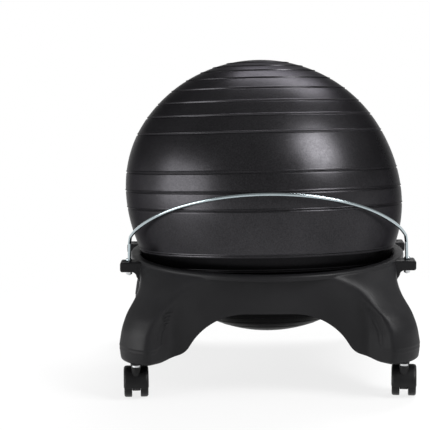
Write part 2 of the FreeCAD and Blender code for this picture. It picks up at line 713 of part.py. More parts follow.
def hood(name, place, has_lever):
    axle_height = Vector(0, size("trail"), size("wheel_radius"))
    guard = doc.addObject("Part::Cylinder", name + "_guard")
    bind(guard, Radius="Sizes.wheel_radius + Sizes.hood_gap + Sizes.hood_wall",
         Height="2 * Sizes.hood_half", Angle="Sizes.hood_sweep")
    # The sector starts at the rear, hood_rear above level, and runs forward over the top.
    start = LENGTHWISE.multiply(Rotation(Z_AXIS, 90))
    guard.Placement = Placement(axle_height - X_AXIS * size("hood_half"),
                                Rotation(X_AXIS, size("hood_rear")).multiply(start))
    hollow = cylinder(name + "_wheel_space", "Sizes.wheel_radius + Sizes.hood_gap",
                      "2 * Sizes.hood_half", axle_height - X_AXIS * size("hood_half"), LENGTHWISE)
    cover = combine("Part::Cut", name + "_cover", guard, hollow)
    low_web = cylinder(name + "_low_web", "Sizes.web_radius", "2 * Sizes.web_half",
                       axle_height - X_AXIS * size("web_half"), LENGTHWISE)
    axle_level = "Sizes.wheel_radius"
    guard_middle = "(Sizes.wheel_radius + Sizes.hood_gap + Sizes.hood_wall / 2)"
    web = padded(name + "_web", (
        ("Sizes.trail - Sizes.web_radius", axle_level),
        ("Sizes.trail + Sizes.web_radius", axle_level),
        (f"Sizes.trail + {guard_middle} * cos(45 deg)", f"{axle_level} + {guard_middle} * sin(45 deg)"),
        ("Sizes.trail", f"{axle_level} + {guard_middle}"),
        ("Sizes.web_front", f"{axle_level} + Sizes.web_front_high"),
        ("-Sizes.web_front", f"{axle_level} + Sizes.web_front_high"),
        ("-Sizes.web_front", f"{axle_level} + Sizes.web_front_low"),
    ), "2 * Sizes.web_half")
    neck_base = hood_top - size("neck_height")
    core_base = hood_top - size("spigot_length") - size("hood_wall")
    core_height = "Sizes.spigot_length + Sizes.hood_wall - Sizes.neck_height"
    neck = cylinder(name + "_neck", "Sizes.neck_radius", "Sizes.neck_height", Vector(0, 0, neck_base))
    core = cylinder(name + "_core", "Sizes.web_half", core_height, Vector(0, 0, core_base))
    solids = [cover, low_web, web, neck, core]
    spigot_base = Vector(0, 0, flange_bottom - size("spigot_length"))
    cuts = [cylinder(name + "_spigot_bore", "Sizes.spigot_radius + Sizes.running_gap",
                     "Sizes.spigot_length + 1", spigot_base),
            cylinder(name + "_axle_bore", "Sizes.axle_radius", "2 * Sizes.hood_half",
                     axle_height - X_AXIS * size("hood_half"), LENGTHWISE)]
    if has_lever:
        for side in (-1, 1):
            solids.append(lever_lug(name, side))
        cuts.append(cylinder(name + "_pin_bore", "Sizes.lever_pin_radius", "2 * Sizes.hood_half",
                             pin_spot() - X_AXIS * size("hood_half"), LENGTHWISE))
    full = combine("Part::MultiFuse", name + "_solid", *solids)
    holes = combine("Part::MultiFuse", name + "_holes", *cuts)
    piece = combine("Part::Cut", name, full, holes)
    piece.Placement = place
    return piece


def round_axle(radius, angle):
    """A point round the axle, at an angle above level towards the rear."""
    turn = math.radians(angle)
    axle_spot = Vector(0, size("trail"), size("wheel_radius"))
    return axle_spot + Vector(0, math.cos(turn), math.sin(turn)) * radius


def pin_spot():
    return round_axle(guard_outer + size("barrel_radius") + size("face_gap"), size("lever_pin_angle"))


def lever_lug(name, side):
    """One of the two lugs on the guard that carry the brake lever's pin."""
    centre = pin_spot()
    inner = size("lever_half") + size("face_gap")
    start = inner if side > 0 else -inner - size("lug_wall")
    mark = "right" if side > 0 else "left"
    ear_disc = cylinder(f"{name}_lug_{mark}", "Sizes.barrel_radius", "Sizes.lug_wall",
                        centre + X_AXIS * start, LENGTHWISE)
    block = doc.addObject("Part::Box", f"{name}_lug_foot_{mark}")
    bind(block, Length="Sizes.lug_wall", Width="2 * Sizes.barrel_radius",
         Height="Sizes.barrel_radius + Sizes.face_gap + Sizes.hood_wall / 2")
    height = size("barrel_radius") + size("face_gap") + size("hood_wall") / 2
    block.Placement = Placement(centre + Vector(start, -size("barrel_radius"), -height), Rotation())
    return combine("Part::MultiFuse", f"{name}_lug_whole_{mark}", ear_disc, block)


def brake_lever(name, place):
    """A curved tab over the guard with a barrel on its pin, standing up when released."""
    half = X_AXIS * size("lever_half")
    centre = Vector(0, size("trail"), size("wheel_radius"))
    inner = "Sizes.wheel_radius + Sizes.hood_gap + Sizes.hood_wall + Sizes.lever_gap"
    tab = doc.addObject("Part::Cylinder", name + "_sector")
    bind(tab, Radius=inner + " + Sizes.lever_wall", Height="2 * Sizes.lever_half",
         Angle="Sizes.lever_pin_angle - Sizes.lever_tip_angle")
    start = Rotation(X_AXIS, size("lever_tip_angle")).multiply(LENGTHWISE.multiply(Rotation(Z_AXIS, 90)))
    tab.Placement = Placement(centre - half, start)
    space = cylinder(name + "_space", inner, "2 * Sizes.lever_half", centre - half, LENGTHWISE)
    plate = combine("Part::Cut", name + "_plate", tab, space)
    barrel = cylinder(name + "_barrel", "Sizes.barrel_radius", "2 * Sizes.lever_half",
                      pin_spot() - half, LENGTHWISE)
    solid = combine("Part::MultiFuse", name + "_solid", plate, barrel)
    bore = cylinder(name + "_bore", "Sizes.lever_pin_radius + Sizes.running_gap", "2 * Sizes.lever_half",
                    pin_spot() - half, LENGTHWISE)
    piece = combine("Part::Cut", name, solid, bore)
    raised = Placement(ORIGIN, Rotation(X_AXIS, size("lever_raise")), pin_spot())
    piece.Placement = place.multiply(raised)
    return piece


def wheel(name, place, side):
    inner = "Sizes.wheel_inner"
    outer = "Sizes.wheel_outer"
    bore = "Sizes.axle_radius + Sizes.running_gap"
    floor = "Sizes.axle_half + 2 * Sizes.face_gap"
    body = turned(name, (
        (inner, bore),
        (inner, "Sizes.wheel_radius - Sizes.wheel_bevel"),
        (inner + " + Sizes.wheel_bevel", "Sizes.wheel_radius"),
        (outer, "Sizes.wheel_radius"),
        (outer, "0"),
        (floor, "0"),
        (floor, bore),
    ), "H_Axis")
    doc.recompute()
    turned_wheel = body.Tip
    rims = [f"Edge{number}" for number, edge in enumerate(turned_wheel.Shape.Edges, start=1)
            if edge.BoundBox.XLength < 0.01 and abs(edge.BoundBox.XMin - size("wheel_outer")) < 0.01
            and abs(edge.BoundBox.ZMax - size("wheel_radius")) < 0.01]
    fillet = body.newObject("PartDesign::Fillet", name + "_fillet")
    fillet.Base = (turned_wheel, rims)
    bind(fillet, Radius="Sizes.wheel_round")
    mirrored = Rotation(Z_AXIS, 180) if side < 0 else Rotation()
    hub = Vector(0, size("trail"), size("wheel_radius"))
    body.Placement = place.multiply(Placement(hub, mirrored))
    return body


grip_rings = []
thrust_washers = []
for corner_name, x_sign, y_sign, turn in CASTERS:
    place = caster_place(x_sign, y_sign, turn)
    stem(f"stem_{corner_name}", place)
    stem_tip = boss_bottom + size("socket_depth") - size("stem_tip_gap")
    ring_base = stem_tip - size("grip_drop") - size("grip_width")
    grip_rings.append(washer_ring(f"grip_ring_{corner_name}", place,
                                  "Sizes.stem_radius - Sizes.groove_depth + Sizes.running_gap",
                                  "Sizes.stem_radius + Sizes.stem_gap / 2", ring_base, "Sizes.grip_width"))
    thrust_washers.append(washer_ring(f"thrust_washer_{corner_name}", place,
                                      "Sizes.spigot_radius + Sizes.running_gap", "Sizes.thrust_radius",
                                      flange_bottom - size("thrust_height"), "Sizes.thrust_height"))
    rear = y_sign > 0
    hood(f"hood_{corner_name}", place, rear)
    hub = Vector(0, size("trail"), size("wheel_radius"))
    axle = cylinder(f"axle_{corner_name}", "Sizes.axle_radius", "2 * Sizes.axle_half")
    axle.Placement = place.multiply(Placement(hub - X_AXIS * size("axle_half"), LENGTHWISE))
    wheel(f"wheel_{corner_name}_left", place, -1)
    wheel(f"wheel_{corner_name}_right", place, 1)
    if rear:
        brake_lever(f"brake_lever_{corner_name}", place)
        pin_half = size("lever_half") + size("face_gap") + size("lug_wall")
        pin = cylinder(f"lever_pin_{corner_name}", "Sizes.lever_pin_radius",
                       "2 * (Sizes.lever_half + Sizes.face_gap + Sizes.lug_wall)")
        pin.Placement = place.multiply(Placement(pin_spot() - X_AXIS * pin_half, LENGTHWISE))
combine("Part::Compound", "grip_rings", *grip_rings)
combine("Part::Compound", "thrust_washers", *thrust_washers)

NODES = ["base_front", "base_rear", "joining_bolts", "joining_nuts", "joining_washers",
         "support_bar", "bar_washers", "bar_nuts", "ball", "ball_plug", "grip_rings", "thrust_washers"]
for corner_name, _, y_sign, _ in CASTERS:
    NODES += [f"stem_{corner_name}", f"hood_{corner_name}", f"axle_{corner_name}",
              f"wheel_{corner_name}_left", f"wheel_{corner_name}_right"]
    if y_sign > 0:
        NODES += [f"brake_lever_{corner_name}", f"lever_pin_{corner_name}"]

doc.recompute()
for feature in doc.Objects:
    if "Invalid" in feature.State or "Error" in feature.State:
        raise RuntimeError(f"{feature.Name} failed: {feature.State}")

os.makedirs("parts", exist_ok=True)
for name in NODES:
    feature = doc.getObject(name)
    feature.Label = name
    shape = feature.Shape
    if shape.isNull() or not shape.isValid() or not shape.Solids:
        raise RuntimeError(f"{name} has no sound shape")
for name in NODES:
    doc.getObject(name).Shape.exportStep(f"parts/{name}.step")
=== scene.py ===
import json
import math

import bmesh
import bpy
import numpy as np
from mathutils import Matrix, Vector


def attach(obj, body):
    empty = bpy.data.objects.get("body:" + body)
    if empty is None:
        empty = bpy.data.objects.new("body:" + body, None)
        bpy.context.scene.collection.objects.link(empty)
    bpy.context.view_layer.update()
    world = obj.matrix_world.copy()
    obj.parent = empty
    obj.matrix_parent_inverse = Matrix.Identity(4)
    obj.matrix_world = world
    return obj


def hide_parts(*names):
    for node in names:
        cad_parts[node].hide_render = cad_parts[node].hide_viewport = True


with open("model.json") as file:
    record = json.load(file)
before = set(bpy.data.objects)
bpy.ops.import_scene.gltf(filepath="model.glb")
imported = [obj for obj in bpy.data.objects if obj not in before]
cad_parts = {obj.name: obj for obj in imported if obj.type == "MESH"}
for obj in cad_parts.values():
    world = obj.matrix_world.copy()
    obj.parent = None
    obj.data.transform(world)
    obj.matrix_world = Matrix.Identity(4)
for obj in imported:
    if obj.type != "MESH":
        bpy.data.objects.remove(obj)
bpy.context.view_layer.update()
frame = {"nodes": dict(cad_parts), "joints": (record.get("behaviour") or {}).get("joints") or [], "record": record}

# Looks for the balance ball chair, in metres, in the row's frame: +Z up, the bar on the -Y side.

nodes = frame["nodes"]
MM = 0.001


# Camera, at the photograph's angle
PHOTO_SIDE_PIXELS = 430
FOCAL_PIXELS = 1502
SENSOR = 36.0
CLIP_END = 120
CAMERA_PLACE = Vector((-0.057, -2.819, 0.7448))
CAMERA_YAW = math.radians(-0.831)
CAMERA_PITCH = math.radians(9.119)
CAMERA_ROLL = math.radians(0.554)


def make_camera():
    forward = Vector((math.sin(CAMERA_YAW) * math.cos(CAMERA_PITCH),
                      math.cos(CAMERA_YAW) * math.cos(CAMERA_PITCH), -math.sin(CAMERA_PITCH)))
    level_right = Vector((math.cos(CAMERA_YAW), -math.sin(CAMERA_YAW), 0))
    level_up = level_right.cross(forward)
    right = level_right * math.cos(CAMERA_ROLL) - level_up * math.sin(CAMERA_ROLL)
    up = level_right * math.sin(CAMERA_ROLL) + level_up * math.cos(CAMERA_ROLL)
    data = bpy.data.cameras.new("photo_camera")
    data.sensor_width = SENSOR
    data.lens = FOCAL_PIXELS / PHOTO_SIDE_PIXELS * SENSOR
    data.clip_end = CLIP_END
    camera = bpy.data.objects.new("photo_camera", data)
    turn = Matrix((right, up, -forward)).transposed()
    camera.matrix_world = Matrix.Translation(CAMERA_PLACE) @ turn.to_4x4()
    bpy.context.scene.collection.objects.link(camera)
    bpy.context.scene.camera = camera


make_camera()


# The ball's size and place, which its material needs too for the painted shade below the seat ridge
BALL_RADIUS = 0.260
BALL_HEIGHT = 0.3305
BALL_LEAN = math.radians(6.3)
BALL_TIP = math.radians(0.7)
BALL_CENTRE = Vector((0, 0, BALL_HEIGHT))
BALL_TURN = Matrix.Rotation(-BALL_LEAN, 3, "X") @ Matrix.Rotation(-BALL_TIP, 3, "Y")
BALL_AXIS = BALL_TURN @ Vector((0, 0, 1))
SEAT_RIDGE = math.radians(-22.1)
# Heights along the ball's axis over which the painted shade below the seat ridge fades in
PAINTED_SHADE_EDGE = (BALL_RADIUS * math.sin(SEAT_RIDGE - 0.02), BALL_RADIUS * math.sin(SEAT_RIDGE - 0.008))


# Materials
class Shader:
    """A Principled material whose colour, roughness and bump come from nodes in object space."""

    def __init__(self, name, metallic=0.0, specular=0.5):
        self.material = bpy.data.materials.new(name)
        self.material.use_nodes = True
        self.tree = self.material.node_tree
        self.bsdf = self.tree.nodes["Principled BSDF"]
        self.bsdf.inputs["Metallic"].default_value = metallic
        self.bsdf.inputs["Specular IOR Level"].default_value = specular
        self.place = self.tree.nodes.new("ShaderNodeTexCoord").outputs["Object"]
        self.height = None

    def link(self, source, target):
        self.tree.links.new(source, target)

    def noise(self, per_metre, detail=4.0, distortion=0.0):
        texture = self.tree.nodes.new("ShaderNodeTexNoise")
        texture.inputs["Scale"].default_value = per_metre
        texture.inputs["Detail"].default_value = detail
        texture.inputs["Distortion"].default_value = distortion
        self.link(self.place, texture.inputs["Vector"])
        return texture.outputs["Fac"]

    def cells(self, per_metre):
        texture = self.tree.nodes.new("ShaderNodeTexVoronoi")
        texture.inputs["Scale"].default_value = per_metre
        self.link(self.place, texture.inputs["Vector"])
        return texture.outputs["Distance"]

    def spread(self, source, low, high, source_low=0.3, source_high=0.7):
        node = self.tree.nodes.new("ShaderNodeMapRange")
        node.inputs["From Min"].default_value = source_low
        node.inputs["From Max"].default_value = source_high
        node.inputs["To Min"].default_value = low
        node.inputs["To Max"].default_value = high
        self.link(source, node.inputs["Value"])
        return node.outputs["Result"]

    def along_axis(self, centre, axis):
        """The distance of a point from the centre, measured along the axis."""
        away = self.tree.nodes.new("ShaderNodeVectorMath")
        away.operation = "SUBTRACT"
        self.link(self.place, away.inputs[0])
        away.inputs[1].default_value = centre
        share = self.tree.nodes.new("ShaderNodeVectorMath")
        share.operation = "DOT_PRODUCT"
        self.link(away.outputs["Vector"], share.inputs[0])
        share.inputs[1].default_value = axis
        return share.outputs["Value"]

    def maths(self, kind, first, second):
        node = self.tree.nodes.new("ShaderNodeMath")
        node.operation = kind
        for socket, value in zip(node.inputs, (first, second)):
            if isinstance(value, (int, float)):
                socket.default_value = value
            else:
                self.link(value, socket)
        return node.outputs["Value"]

    def colours(self, factor, dark, light):
        ramp = self.tree.nodes.new("ShaderNodeValToRGB")
        ramp.color_ramp.elements[0].color = (*dark, 1)
        ramp.color_ramp.elements[1].color = (*light, 1)
        self.link(factor, ramp.inputs["Fac"])
        self.link(ramp.outputs["Color"], self.bsdf.inputs["Base Color"])

    def roughness(self, source, low, high):
        self.link(self.spread(source, low, high), self.bsdf.inputs["Roughness"])

    def bump(self, source, depth, strength=1.0):
        node = self.tree.nodes.new("ShaderNodeBump")
        node.inputs["Strength"].default_value = strength
        node.inputs["Distance"].default_value = depth
        self.link(source, node.inputs["Height"])
        if self.height is not None:
            self.link(self.height, node.inputs["Normal"])
        self.height = node.outputs["Normal"]
        self.link(self.height, self.bsdf.inputs["Normal"])


def moulded_plastic(name, dark, light, low_rough, high_rough, specular):
    shader = Shader(name, specular=specular)
    clouds = shader.noise(9, detail=3)
    grain = shader.noise(1500, detail=2)
    shader.colours(shader.spread(clouds, 0, 1, 0.35, 0.65), dark, light)
    shader.roughness(shader.noise(60, detail=5), low_rough, high_rough)
    shader.bump(grain, 0.00012, 0.5)
    shader.bump(shader.noise(25, detail=2), 0.0006, 0.25)
    return shader.material


VINYL_COLOUR = (0.051, 0.0496, 0.0537)
MOTTLE_SHARE = 0.55
# How dark the painted shade below the seat ridge makes the ball's colour
PAINTED_SHADE_BELOW_RIDGE = 0.22


def ball_vinyl():
    """A dark pearly vinyl, duller and darker below the ridge that sinks towards the seat, as painted shade."""
    shader = Shader("ball_vinyl", metallic=0.92, specular=0.15)
    shader.bsdf.inputs["Specular Tint"].default_value = (0.35, 0.35, 0.35, 1)
    mottle = shader.noise(420, detail=3, distortion=0.4)
    clouds = shader.noise(7, detail=4)
    mixed = shader.maths("ADD", shader.maths("MULTIPLY", mottle, MOTTLE_SHARE),
                         shader.maths("MULTIPLY", clouds, 1 - MOTTLE_SHARE))
    pearl = shader.spread(mixed, 0.55, 1, 0.36, 0.66)
    # Painted shade: the colour is darkened below the seat ridge, where the seat shades the ball
    painted_shade = shader.spread(shader.along_axis(BALL_CENTRE, BALL_AXIS), PAINTED_SHADE_BELOW_RIDGE, 1, *PAINTED_SHADE_EDGE)
    shader.colours(shader.maths("MULTIPLY", pearl, painted_shade), (0, 0, 0), VINYL_COLOUR)
    shader.roughness(shader.noise(160, detail=4), 0.29, 0.35)
    shader.bump(shader.noise(900, detail=3), 0.00012, 0.25)
    shader.bump(shader.noise(18, detail=3), 0.0010, 0.15)
    return shader.material


def bright_steel():
    shader = Shader("bright_steel", metallic=1.0)
    drawn = shader.noise(260, detail=6)
    shader.colours(drawn, (0.36, 0.43, 0.46), (0.50, 0.56, 0.58))
    shader.roughness(shader.noise(700, detail=4), 0.12, 0.22)
    shader.bump(drawn, 0.00004, 0.4)
    return shader.material


def zinc_steel():
    shader = Shader("zinc_steel", metallic=1.0)
    spangle = shader.cells(900)
    shader.colours(shader.spread(spangle, 0, 1, 0.0, 0.8), (0.50, 0.51, 0.52), (0.72, 0.73, 0.74))
    shader.roughness(shader.noise(800, detail=4), 0.25, 0.42)
    shader.bump(spangle, 0.00005, 0.4)
    return shader.material


materials = {
    "moulded_plastic": moulded_plastic("moulded_plastic", (0.0095, 0.0094, 0.0103),
                                       (0.0140, 0.0139, 0.0150), 0.36, 0.46, 0.14),
    "caster_plastic": moulded_plastic("caster_plastic", (0.0055, 0.0055, 0.0060), (0.0095, 0.0095, 0.0100),
                                      0.34, 0.44, 0.18),
    "wheel_plastic": moulded_plastic("wheel_plastic", (0.0050, 0.0050, 0.0055), (0.0085, 0.0085, 0.0090),
                                     0.30, 0.42, 0.18),
    "lever_plastic": moulded_plastic("lever_plastic", (0.008, 0.008, 0.0085), (0.012, 0.012, 0.0125),
                                     0.36, 0.48, 0.2),
    "plug_plastic": moulded_plastic("plug_plastic", (0.018, 0.018, 0.019), (0.028, 0.028, 0.030),
                                    0.45, 0.60, 0.4),
    "ball_vinyl": ball_vinyl(),
    "bright_steel": bright_steel(),
    "zinc_steel": zinc_steel(),
}
slot_of = {part["node"]: part["material_slot"] for part in frame["record"]["subparts"]}
for name, node in nodes.items():
    node.data.materials.clear()
    node.data.materials.append(materials[slot_of[name]])


# Mesh helpers
def fit_on(piece, slot, body, replaced=()):
    """Gives a piece its material, the body it rides on and the nodes whose place it takes."""
    piece.data.materials.clear()
    piece.data.materials.append(materials[slot])
    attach(piece, body)
    if replaced:
        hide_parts(*replaced)


def add_mesh(name, points, faces, slot, body, replaced=(), smooth=True):
    mesh = bpy.data.meshes.new(name)
    mesh.from_pydata([tuple(point) for point in points], [], faces)
    mesh.validate()
    mesh.update()
    piece = bpy.data.objects.new(name, mesh)
    bpy.context.scene.collection.objects.link(piece)
    work = bmesh.new()
    work.from_mesh(mesh)
    bmesh.ops.recalc_face_normals(work, faces=work.faces)
    work.to_mesh(mesh)
    work.free()
    if smooth:
        mesh.shade_smooth()
    fit_on(piece, slot, body, replaced)
    return piece


def grid_faces(rows, columns, closed):
    faces = []
    wraps = columns if closed else columns - 1
    for row in range(rows - 1):
        for column in range(wraps):
            following = (column + 1) % columns
            faces.append((row * columns + column, row * columns + following,
                          (row + 1) * columns + following, (row + 1) * columns + column))
    return faces


def smooth_step(values, width):
    """Rises from 0 to 1 while the values go from 0 to the width."""
    share = np.clip(values / width, 0, 1)
    return share * share * (3 - 2 * share)


# Ball. The photographed ball sags: its crown is flatter, and its upper part leans to the left.
BALL_COLUMNS = 192
LATITUDE_STEP = 1.5
BALL_SQUASH = 0.985
CROWN_SQUASH = 0.979
BALL_BULGE = 0.0122
BALL_BULGE_START = -0.12
BALL_BULGE_RUN = 0.26
RIDGES = (77, 71, 65.5, 58.6, 51.2, 43.4, 36.2, 28.1, 11.4, 3.5, -3.7,
          -22.1, -29, -36.2, -44, -51.4, -58.3, -64, -70)
RIDGE_HEIGHT = 0.0010
RIDGE_WIDTH = 0.0011
GROOVE_DEPTH = 0.0012
GROOVE_WIDTH = 0.0012
GROOVE_DROP = 0.0024
UNDERSIDE = -40
UNDERSIDE_STRENGTH = 0.35
RIDGE_BELOW = 0.009
RIDGE_ABOVE = 0.006
RIDGE_OFFSETS = (-0.0065, -0.005, -0.0042, -0.0035, -0.0029, -0.0024, -0.0019, -0.0014,
                 -0.0009, -0.0004, 0.0001, 0.0006, 0.0011, 0.0017, 0.0026, 0.004)


def ball_profile(latitude):
    """The skin's radius at a latitude in radians: each ridge is a fine rib with a groove below it."""
    radius = BALL_RADIUS
    for ridge in RIDGES:
        along = (latitude - math.radians(ridge)) * BALL_RADIUS
        strength = 1 if ridge > UNDERSIDE else UNDERSIDE_STRENGTH
        radius += strength * RIDGE_HEIGHT * math.exp(-(along / RIDGE_WIDTH) ** 2)
        radius -= strength * GROOVE_DEPTH * math.exp(-((along + GROOVE_DROP) / GROOVE_WIDTH) ** 2)
    return radius


def ball_latitudes():
    """Even steps from pole to pole, with closer ones across each ridge."""
    steps = [math.radians(angle) for angle in np.arange(-90, 90.01, LATITUDE_STEP)]
    for ridge in RIDGES:
        low = math.radians(ridge) - RIDGE_BELOW / BALL_RADIUS
        high = math.radians(ridge) + RIDGE_ABOVE / BALL_RADIUS
        steps = [step for step in steps if not low < step < high]
        steps += [math.radians(ridge) + offset / BALL_RADIUS for offset in RIDGE_OFFSETS]
    return sorted(steps)


def shaped(spot):
    """The sagging shape of the seated ball: slightly flat, its upper part leaning a little to the left."""
    high = smooth_step(spot.z - BALL_BULGE_START, BALL_BULGE_RUN)
    squash = CROWN_SQUASH if spot.z > 0 else BALL_SQUASH
    return Vector((spot.x - BALL_BULGE * high, spot.y, spot.z * squash + BALL_HEIGHT))


def make_ball():
    latitudes = ball_latitudes()[1:-1]
    points = []
    for latitude in latitudes:
        radius = ball_profile(latitude)
        for column in range(BALL_COLUMNS):
            angle = 2 * math.pi * column / BALL_COLUMNS
            spot = Vector((math.cos(latitude) * math.cos(angle), math.cos(latitude) * math.sin(angle),
                           math.sin(latitude))) * radius
            points.append(shaped(BALL_TURN @ spot))
    faces = grid_faces(len(latitudes), BALL_COLUMNS, True)
    for sign, start in ((-1, 0), (1, (len(latitudes) - 1) * BALL_COLUMNS)):
        pole = len(points)
        points.append(shaped(BALL_TURN @ Vector((0, 0, sign * BALL_RADIUS))))
        for column in range(BALL_COLUMNS):
            faces.append((start + column, start + (column + 1) % BALL_COLUMNS, pole))
    add_mesh("ball_skin", points, faces, "ball_vinyl", "seat_ball", ("ball",))


make_ball()


# Base moulding. Its outside is one flowing skin: rim, turned-down lip, bowed panels and flared
# legs, cut below by the arches. Heights and reaches repeat those of the CAD base.
RIM_HEIGHT = 225.0
RIM_RADIUS = 259.0
RIM_ROUND = 5.0
RIM_LAND = 11.0
LIP_DEPTH = 10.0
LIP_HEIGHTS = (218.0, 216.0, 215.4)
LIP_TUCK = 0.4
LAND_EDGE = 1.2
LAND_EDGE_DROP = 0.6
SEAT_ROWS = 8
LAND_ROWS = 4
ROUND_ROWS = 6
SEAT_TOP = 220.5
SEAT_BOTTOM = 192.5
SEAT_SPHERE = 261.1
BASE_WALL = 4.5
FOOT_HEIGHT = 66.0
FOOT_ROUND = 7.0
FOOT_TUCK = 0.8
PANEL_REACH = 241.5
PANEL_SAG = 22.0
LEG_REACH = 353.5
LEG_TOP = RIM_HEIGHT - RIM_ROUND - 1
LEG_STATIONS = (
    (0.00, 0.958, 70, 38),
    (0.15, 0.968, 100, 38.5),
    (0.37, 0.892, 105, 37.5),
    (0.54, 0.750, 110, 40.5),
    (0.69, 0.490, 135, 48.5),
    (0.85, 0.290, 165, 59),
    (0.95, 0.110, 232, 73),
    (1.00, 0.012, 256, 84),
)
EDGE_SOFTNESS = 6.0
TOP_SOFTNESS = 9.0
TOP_SOFTNESS_START = 150.0
TOP_SOFTNESS_RUN = 55.0
FLOW_SOFTNESS = 5.0
SEAM_GAP = 0.12
WELD = 0.00002
SECTION_STEPS = 1200
OCTANT_COLUMNS = 96
COLUMN_CROWDING = 0.5
WALL_ROWS = 110
ROW_CROWDING = 0.45


def bell_weights(amount):
    """How far a bell curve of this width reaches, in unit steps, and its weights there."""
    reach = int(4 * amount)
    weights = np.exp(-0.5 * (np.arange(-reach, reach + 1) / amount) ** 2)
    return reach, weights / weights.sum()


def soften(values, amount):
    """A row of numbers at unit steps, smoothed by a bell curve.

    Each end of the row goes on as its own point reflection."""
    reach, weights = bell_weights(amount)
    before = 2 * values[0] - values[reach:0:-1]
    after = 2 * values[-1] - values[-2:-reach - 2:-1]
    return np.convolve(np.concatenate((before, values, after)), weights, "valid")


STATION_STEPS = np.arange(FOOT_HEIGHT, LEG_TOP + 1)


def station_curve(column):
    heights = [FOOT_HEIGHT + station[0] * (LEG_TOP - FOOT_HEIGHT) for station in LEG_STATIONS]
    steps = np.interp(STATION_STEPS, heights, [station[column] for station in LEG_STATIONS])
    return soften(steps, FLOW_SOFTNESS)


STATION_FLARE = station_curve(1)
STATION_CORNER = station_curve(2)
STATION_HALF = station_curve(3)


def section(height):
    """An eighth of the skin's level section, from a panel's middle to a leg's ridge."""
    angle = np.radians(np.linspace(0, 45, SECTION_STEPS))
    inset = 0.0
    if height < FOOT_HEIGHT + FOOT_ROUND:
        rise = FOOT_HEIGHT + FOOT_ROUND - height
        inset = FOOT_ROUND - math.sqrt(max(0.0, FOOT_ROUND ** 2 - rise ** 2))
        inset = min(inset, FOOT_ROUND * FOOT_TUCK)
    at = min(height, LEG_TOP)
    reach = RIM_RADIUS + np.interp(at, STATION_STEPS, STATION_FLARE) * (LEG_REACH - RIM_RADIUS) - inset
    corner = np.interp(at, STATION_STEPS, STATION_CORNER)
    half = np.interp(at, STATION_STEPS, STATION_HALF) - inset
    across, along = np.cos(angle), np.sin(angle)
    half_width = (reach + (math.sqrt(2) - 1) * corner) / math.sqrt(2)
    flat = half_width - corner
    flared = half_width / across
    both = flat * (across + along)
    under_root = np.maximum(both ** 2 - 2 * flat ** 2 + corner ** 2, 0)
    rounded = both + np.sqrt(under_root)
    flared = np.where(flared * along > flat, rounded, flared)
    edge = PANEL_REACH - PANEL_SAG
    bow = (edge ** 2 + PANEL_SAG ** 2) / (2 * PANEL_SAG)
    behind = bow - PANEL_REACH
    panel = np.sqrt((behind * across) ** 2 + bow ** 2 - behind ** 2) - behind * across
    slab = half / np.maximum(np.sin(math.pi / 4 - angle), 1e-6)
    radius = np.minimum(flared, np.maximum(panel, slab))
    softness = EDGE_SOFTNESS + TOP_SOFTNESS * smooth_step(height - TOP_SOFTNESS_START, TOP_SOFTNESS_RUN)
    return spread_evenly(radius * across, radius * along, softness)


def spread_evenly(x, y, softness):
    """Points at even steps along an eighth of a section, softened as part of the mirrored whole."""
    length = np.concatenate(([0], np.cumsum(np.hypot(np.diff(x), np.diff(y)))))
    fine = np.linspace(0, length[-1], int(length[-1]))
    x, y = np.interp(fine, length, x), np.interp(fine, length, y)
    # The section goes on as its mirror image past the panel's middle and past the leg's ridge
    reach, weights = bell_weights(softness)
    x_before, y_before = x[reach:0:-1], -y[reach:0:-1]
    x_after, y_after = y[-2:-reach - 2:-1], x[-2:-reach - 2:-1]
    x = np.convolve(np.concatenate((x_before, x, x_after)), weights, "valid")
    y = np.convolve(np.concatenate((y_before, y, y_after)), weights, "valid")
    length = np.concatenate(([0], np.cumsum(np.hypot(np.diff(x), np.diff(y)))))
    share = np.linspace(0, 1, OCTANT_COLUMNS + 1)
    crowded = (share + COLUMN_CROWDING * share * (1 - share)) * length[-1]
    return np.stack((np.interp(crowded, length, x), np.interp(crowded, length, y)), axis=1)


# Each foot has two low steps round its nose, like a toe cap: for each, how high above the floor it
# runs, how far along the diagonal it turns upwards, how tightly it turns, and how proud it stands
TOE_STEPS = ((93.0, 307.0, 15.0, 0.85), (86.0, 317.0, 8.0, 0.55))
TOE_STEP_WIDTH = 1.8
TOE_LEAN = 0.55
TOE_LEAN_START = 118.0
TOE_FADE = 128.0
TOE_FADE_RUN = 34.0


def lift_toe(outline, height):
    """Moves the outline of a foot outwards by the steps round its nose."""
    along = outline.sum(axis=1) / math.sqrt(2)
    run = np.gradient(outline, axis=0)
    run /= np.linalg.norm(run, axis=1)[:, None]
    outward = np.stack((run[:, 1], -run[:, 0]), axis=1)
    fade = 1 - smooth_step(height - TOE_FADE, TOE_FADE_RUN)
    lift = 0
    for low, start, turn, proud in TOE_STEPS:
        inside = along - start + TOE_LEAN * max(0.0, height - TOE_LEAN_START)
        above = np.full_like(inside, height - low)
        cornered = turn - np.hypot(np.clip(turn - inside, 0, None), np.clip(turn - above, 0, None))
        lift += proud * smooth_step(cornered, TOE_STEP_WIDTH)
    return outline + outward * (fade * lift)[:, None]


ARCH_CROWN = 153.5
ARCH_FLAT = 41.0
ARCH_SHOULDER = 115.0
ARCH_TURN = math.radians(58)
ARCH_DROP = 8.0
ARCH_TOE = 36.0
TOE_SLOPE = math.radians(19)


